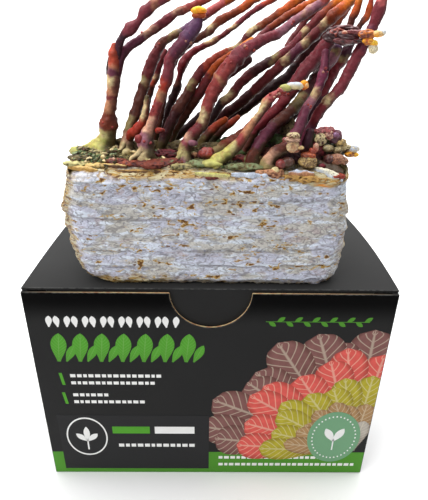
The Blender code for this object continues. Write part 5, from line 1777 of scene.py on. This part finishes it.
@dataclass
class FrontPrint:
    """The plain printed design on the carton's front: leaves, seeds, bars and dashes, with no lettering."""

    shop: FinishShop
    front: float = FRONT
    layer: float = 0.035
    right_edge: float = 129.4
    sunk_share: float = 0.999

    # Each ring of the fan: where its leaves start and end, their width, number and tone, and its angles.
    FAN: tuple[tuple, ...] = (
        (66, 122, 34, 9, Tone.PRINT_MAUVE, (90, 176)),
        (44, 100, 30, 8, Tone.PRINT_SALMON, (84, 174)),
        (26, 76, 25, 8, Tone.PRINT_OLIVE, (86, 176)),
        (10, 54, 19, 7, Tone.PRINT_TAN, (84, 172)),
        (0, 34, 15, 6, Tone.PRINT_STONE, (80, 170)),
    )

    def build(self) -> None:
        """Builds the print, from the band at the foot to the disc on top of it."""
        self.build_band()
        self.build_titles()
        self.build_notes()
        self.build_fan()
        self.build_panel()
        self.build_disc()

    def new(self) -> Draft:
        """A draft whose points carry the places on a leaf."""
        return Draft(("leaf_up", "leaf_across", "veined"))

    def finish(self, draft: Draft, name: str) -> None:
        """Makes a printed piece."""
        draft.finish(name, Slot.BOARD, self.shop.material(Finish.INK), smooth=None)

    def thicken(self, draft: Draft, faces: list, depth: float) -> None:
        """Gives flat ink its thickness, back to the board."""
        grown = bmesh.ops.extrude_face_region(draft.bm, geom=faces, use_keep_orig=True)["geom"]
        verts = [item for item in grown if isinstance(item, bmesh.types.BMVert)]
        bmesh.ops.translate(draft.bm, verts=verts, vec=(0, depth, 0))

    def add_leaf(self, draft: Draft, foot: tuple[float, float], length: float, width: float, angle: float,
                 tone: Tone, level: float, blunt: float = 0.5, veined: float = 1.0) -> None:
        """Adds a flat leaf.

        Args:
            draft: The piece.
            foot: Where it starts, as x and z on the front.
            length: Its length.
            width: Its width.
            angle: Its direction in degrees, from the right counterclockwise.
            tone: Its colour.
            level: How many layers of ink lie under it.
            blunt: How broad its tip is, from 0 for a point to 1 for a round end.
            veined: Whether it is shaded and veined.
        """
        steps, ribs = 16, 6
        grid = bmesh.ops.create_grid(draft.bm, x_segments=steps, y_segments=ribs, size=1)
        turn = math.radians(angle)
        ahead = Vector((math.cos(turn), 0, math.sin(turn)))
        side = Vector((-math.sin(turn), 0, math.cos(turn)))
        start = Vector((foot[0], self.front - self.layer * (level + 1), foot[1]))
        power = 1 - 0.55 * blunt
        for vert in grid["verts"]:
            up, across = (vert.co.x + 1) / 2, vert.co.y
            spread = math.sin(math.pi * min(1.0, 0.04 + 0.96 * up**(1 + blunt))) ** power
            vert[draft.values["leaf_up"]] = up
            vert[draft.values["leaf_across"]] = across
            vert[draft.values["veined"]] = veined
            draft.tint(vert, tone.linear())
            vert.co = start + ahead * length * up + side * width / 2 * spread * across
        faces = list({face for vert in grid["verts"] for face in vert.link_faces})
        edges = list({edge for vert in grid["verts"] for edge in vert.link_edges})
        if max(vert.co.x for vert in grid["verts"]) > self.right_edge:
            flat = [*grid["verts"], *edges, *faces]
            edge = {"plane_co": (self.right_edge, 0, 0), "plane_no": (1, 0, 0), "clear_outer": True}
            cut = bmesh.ops.bisect_plane(draft.bm, geom=flat, **edge)["geom"]
            faces = [item for item in cut if isinstance(item, bmesh.types.BMFace)]
        if faces:
            self.thicken(draft, faces, self.layer * (level + 1) * self.sunk_share)

    def add_shape(self, draft: Draft, centre: tuple[float, float], size: tuple[float, float], tone: Tone,
                  level: float, sides: int = 4, slant: float = 0.0, hole: float = 0.0) -> None:
        """Adds a flat bar, disc or ring.

        Args:
            draft: The piece.
            centre: Its middle, as x and z on the front.
            size: Its width and height.
            tone: Its colour.
            level: How many layers of ink lie under it.
            sides: 4 for a bar, more for a disc.
            slant: How far its top leans to the left.
            hole: The share of a ring that is open.
        """
        round_turn = math.pi / 4 if sides == 4 else 0.0
        stretch = math.sqrt(2) if sides == 4 else 1.0
        made = bmesh.ops.create_circle(draft.bm, cap_ends=not hole, segments=sides, radius=0.5 * stretch)
        verts = list(made["verts"])
        if hole:
            rim = list({edge for vert in verts for edge in vert.link_edges})
            inner = bmesh.ops.extrude_edge_only(draft.bm, edges=rim)["geom"]
            inner = [item for item in inner if isinstance(item, bmesh.types.BMVert)]
            bmesh.ops.scale(draft.bm, vec=(hole, hole, hole), verts=inner)
            verts += inner
        faces = list({face for vert in verts for face in vert.link_faces})
        depth = self.front - self.layer * (level + 1)
        turn = Matrix.Rotation(round_turn, 3, "Z")
        for vert in verts:
            x, z, _ = turn @ vert.co
            vert.co = (centre[0] + size[0] * x - slant * z, depth, centre[1] + size[1] * z)
            draft.tint(vert, tone.linear())
        self.thicken(draft, faces, self.layer * (level + 1) * self.sunk_share)

    def add_dashes(self, draft: Draft, ends: Spread, height: float, thick: float, level: float,
                   pitch: float) -> None:
        """Adds a row of short white dashes of uneven length.

        Args:
            draft: The piece.
            ends: Where the row starts and where its last dash may still start, as x.
            height: The row's height.
            thick: How high a dash is.
            level: How many layers of ink lie under it.
            pitch: About how far it is from one dash to the next.
        """
        at, index = ends[0], 0
        while at < ends[1]:
            length = pitch * (0.55 + 0.35 * abs(math.sin(2.3 * index + height)))
            self.add_shape(draft, (at + length / 2, height), (length, thick), Tone.PRINT_WHITE, level)
            at += length + pitch * 0.28
            index += 1

    def build_band(self) -> None:
        """The green band at the foot, with two rows of white dashes."""
        draft = self.new()
        self.add_shape(draft, (0, 12.5), (259.0, 24.2), Tone.PRINT_BAND, 0)
        for end, height in ((92, 18.4), (121, 10.2)):
            self.add_dashes(draft, (8, end), height, 3.0, 1, 4.6)
        self.finish(draft, "print_foot_band")

    def build_titles(self) -> None:
        """A row of white seeds over a row of broad green leaves, and a fine green garland at the right."""
        draft = self.new()
        seed_foot, leaf_foot, garland = 149.4, 118.6, 155.0
        for index in range(15):
            foot = (-114.5 + 6.4 * index, seed_foot)
            self.add_leaf(draft, foot, 9.4, 4.6, 90 - 6 * (-1) ** index, Tone.PRINT_WHITE, 0, 0.5, 0.0)
        for index in range(7):
            x = -109 + 15.6 * index
            self.add_leaf(draft, (x - 2.4, leaf_foot), 25.5, 11.5, 84, Tone.PRINT_GREEN, 0, 0.45, 0.25)
            self.add_leaf(draft, (x + 3.2, leaf_foot), 17.0, 6.5, 64, Tone.PRINT_GREEN, 1, 0.3, 0.25)
        self.add_shape(draft, (76, garland), (74, 0.5), Tone.PRINT_BAND, 0)
        for index in range(12):
            side = 1 if index % 2 else -1
            foot = (41 + 6.2 * index, garland)
            self.add_leaf(draft, foot, 6.6, 3.2, 35 * side, Tone.PRINT_BAND, 1, 0.2, 0.0)
        self.finish(draft, "print_leaf_rows")

    def build_notes(self) -> None:
        """Two slanted green ticks, each with two rows of white dashes."""
        draft = self.new()
        rows = ((102.0, (105.2, 98.3), (-40, -41)), (83.0, (86.4, 79.4), (-79, -53)))
        for middle, heights, ends in rows:
            self.add_shape(draft, (-111.4, middle), (2.3, 11.5), Tone.PRINT_GREEN, 0, slant=1.6)
            for height, end in zip(heights, ends):
                self.add_dashes(draft, (-105, end), height, 2.9, 0, 4.4)
        self.finish(draft, "print_notes")

    def build_fan(self) -> None:
        """A fan of overlapping leaves that opens from the lower right corner."""
        draft = self.new()
        origin = Vector((118.0, 0.0, 27.0))
        level = 1.0
        for start, stop, width, count, tone, (low, high) in self.FAN:
            for index in range(count):
                angle = low + (high - low) * index / (count - 1) + 3 * math.sin(index * 2.1)
                reach = stop * (1 + 0.07 * math.sin(index * 1.7 + start))
                turn = math.radians(angle)
                foot = (origin.x + start * math.cos(turn), origin.z + start * math.sin(turn))
                self.add_leaf(draft, foot, reach - start, width, angle, tone, level, 0.95)
                level += 0.12
        self.finish(draft, "print_leaf_fan")

    def build_panel(self) -> None:
        """A plain dark panel with a ringed sprout and three bars."""
        draft = self.new()
        self.add_shape(draft, (-60.5, 35.2), (120.6, 60.4), Tone.PRINT_PANEL, 3)
        middle = (-99.0, 42.0)
        self.add_shape(draft, middle, (33, 42), Tone.PRINT_WHITE, 4, sides=48, hole=0.93)
        for angle, length in ((90, 16), (136, 12), (44, 12)):
            foot = (middle[0], middle[1] - 5)
            self.add_leaf(draft, foot, length, 5, angle, Tone.PRINT_WHITE, 4, 0.3, 0.0)
        self.add_shape(draft, (middle[0], middle[1] - 9), (1.2, 11), Tone.PRINT_WHITE, 4)
        self.add_shape(draft, (-63, 49.5), (30, 7.5), Tone.PRINT_GREEN, 4)
        self.add_shape(draft, (-28, 49.5), (32, 7.5), Tone.PRINT_WHITE, 4)
        self.add_dashes(draft, (-74, -12), 32.5, 3.4, 4, 5.0)
        self.finish(draft, "print_panel")

    def build_disc(self) -> None:
        """A sage green disc with a ring of dots and a two-leaved sprig."""
        draft = self.new()
        middle = (101.5, 42.0)
        self.add_shape(draft, middle, (43, 56), Tone.PRINT_SAGE, 10, sides=64)
        dots = 36
        for index in range(dots):
            turn = 2 * math.pi * index / dots
            spot = (middle[0] + 17.6 * math.cos(turn), middle[1] + 23 * math.sin(turn))
            self.add_shape(draft, spot, (1.3, 1.7), Tone.PRINT_WHITE, 11, sides=8)
        for angle in (62, 118):
            self.add_leaf(draft, (middle[0], middle[1] - 4), 16, 6.5, angle, Tone.PRINT_WHITE, 11, 0.3, 0.0)
        self.add_shape(draft, (middle[0], middle[1] - 8), (1.1, 12), Tone.PRINT_WHITE, 11)
        self.finish(draft, "print_disc")


@dataclass
class Studio:
    """The pale floor, the soft lights and the camera."""

    focal_px: float = 448.0
    frame_px: float = 500.0
    sensor: float = 36.0
    pitch: float = 25.61
    yaw: float = -0.79
    roll: float = -0.84
    station: Spot = (-2.0, -347.3, 337.1)
    floor_grey: float = 0.9
    sky: float = 0.28
    near: float = -4000.0
    far: float = 1600.0
    bend: float = 900.0
    half_width: float = 5000.0
    wall_top: float = 5000.0
    floor_rows: int = 14
    bend_rows: int = 12

    # Each light: its name, its place, what it is aimed at, its side and its power.
    LIGHTS: tuple[tuple[str, Spot, Spot, float, float], ...] = (
        ("key", (-700, -620, 1050), (0, 0, 220), 700, 9.7),
        ("fill", (900, -700, 500), (0, 0, 220), 900, 0.8),
        ("back", (200, 900, 1000), (0, 0, 220), 900, 2.7),
        ("wash", (0, 700, 1900), (0, 2500, 500), 2600, 110.0),
    )

    def build(self) -> None:
        """Sets the stage."""
        self.build_floor()
        self.build_world()
        for light in self.LIGHTS:
            self.add_light(*light)
        self.build_camera()

    def build_floor(self) -> None:
        bm = bmesh.new()
        grid = bmesh.ops.create_grid(bm, x_segments=1, y_segments=self.floor_rows, size=1)["verts"]
        for vert in grid:
            row = round((vert.co.y + 1) / 2 * self.floor_rows)
            turn = math.pi / 2 * min(1.0, max(0, row - 1) / self.bend_rows)
            y = self.near if row == 0 else self.far + self.bend * math.sin(turn)
            z = self.wall_top if row == self.floor_rows else self.bend * (1 - math.cos(turn))
            vert.co = Vector((self.half_width * vert.co.x, y, z)) * MM
        bmesh.ops.recalc_face_normals(bm, faces=bm.faces)
        mesh = bpy.data.meshes.new("floor")
        bm.to_mesh(mesh)
        bm.free()
        mesh.shade_smooth()
        floor = bpy.data.objects.new("floor", mesh)
        bpy.context.scene.collection.objects.link(floor)
        material = bpy.data.materials.new("pale_floor")
        material.use_nodes = True
        shader = material.node_tree.nodes["Principled BSDF"]
        shader.inputs["Base Color"].default_value = (self.floor_grey,) * 3 + (1,)
        shader.inputs["Roughness"].default_value = 0.9
        shader.inputs["Specular IOR Level"].default_value = 0.1
        mesh.materials.append(material)

    def build_world(self) -> None:
        """Soft white light from all round."""
        world = bpy.data.worlds.new("studio")
        world.use_nodes = True
        background = world.node_tree.nodes["Background"]
        background.inputs["Color"].default_value = (1, 1, 1, 1)
        background.inputs["Strength"].default_value = self.sky
        bpy.context.scene.world = world
        bpy.context.scene.view_settings.view_transform = "Standard"

    def add_light(self, name: str, place: Spot, target: Spot, size: float, power: float) -> None:
        """Adds a square soft light.

        Args:
            name: Its name.
            place: Where it stands.
            target: Where it is aimed.
            size: Its side.
            power: Its power in watts.
        """
        data = bpy.data.lights.new(name, "AREA")
        data.shape = "SQUARE"
        data.size = size * MM
        data.energy = power
        light = bpy.data.objects.new(name, data)
        spot = Vector(place) * MM
        aim = Vector(target) * MM - spot
        light.matrix_world = Matrix.Translation(spot) @ aim.to_track_quat("-Z", "Y").to_matrix().to_4x4()
        bpy.context.scene.collection.objects.link(light)

    def build_camera(self) -> None:
        """The camera at the photograph's place and angle."""
        pitch, yaw, roll = (math.radians(angle) for angle in (self.pitch, self.yaw, self.roll))
        level_right = Vector((math.cos(yaw), math.sin(yaw), 0))
        level_ahead = Vector((-math.sin(yaw), math.cos(yaw), 0))
        ahead = level_ahead * math.cos(pitch) - Vector((0, 0, math.sin(pitch)))
        level_up = level_ahead * math.sin(pitch) + Vector((0, 0, math.cos(pitch)))
        right = level_right * math.cos(roll) - level_up * math.sin(roll)
        up = level_right * math.sin(roll) + level_up * math.cos(roll)
        turn = Matrix((right, up, -ahead)).transposed().to_4x4()
        data = bpy.data.cameras.new("camera")
        data.sensor_width = self.sensor
        data.sensor_fit = "AUTO"
        data.lens = self.focal_px / self.frame_px * self.sensor
        data.clip_end = 50
        camera = bpy.data.objects.new("camera", data)
        camera.matrix_world = Matrix.Translation(Vector(self.station) * MM) @ turn
        bpy.context.scene.collection.objects.link(camera)
        bpy.context.scene.camera = camera


def main() -> None:
    logging.basicConfig(level=logging.INFO, format="%(message)s")
    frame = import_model()
    Studio().build()
    shop = FinishShop()
    Carton(shop, frame["nodes"]).build()
    FrontPrint(shop).build()
    block = MyceliumBlock(shop)
    block.build()
    CrustLitter(shop, block).build()
    AntlerStand(shop).build()
    YoungGrowth(shop).build()


if __name__ == "__main__":
    main()
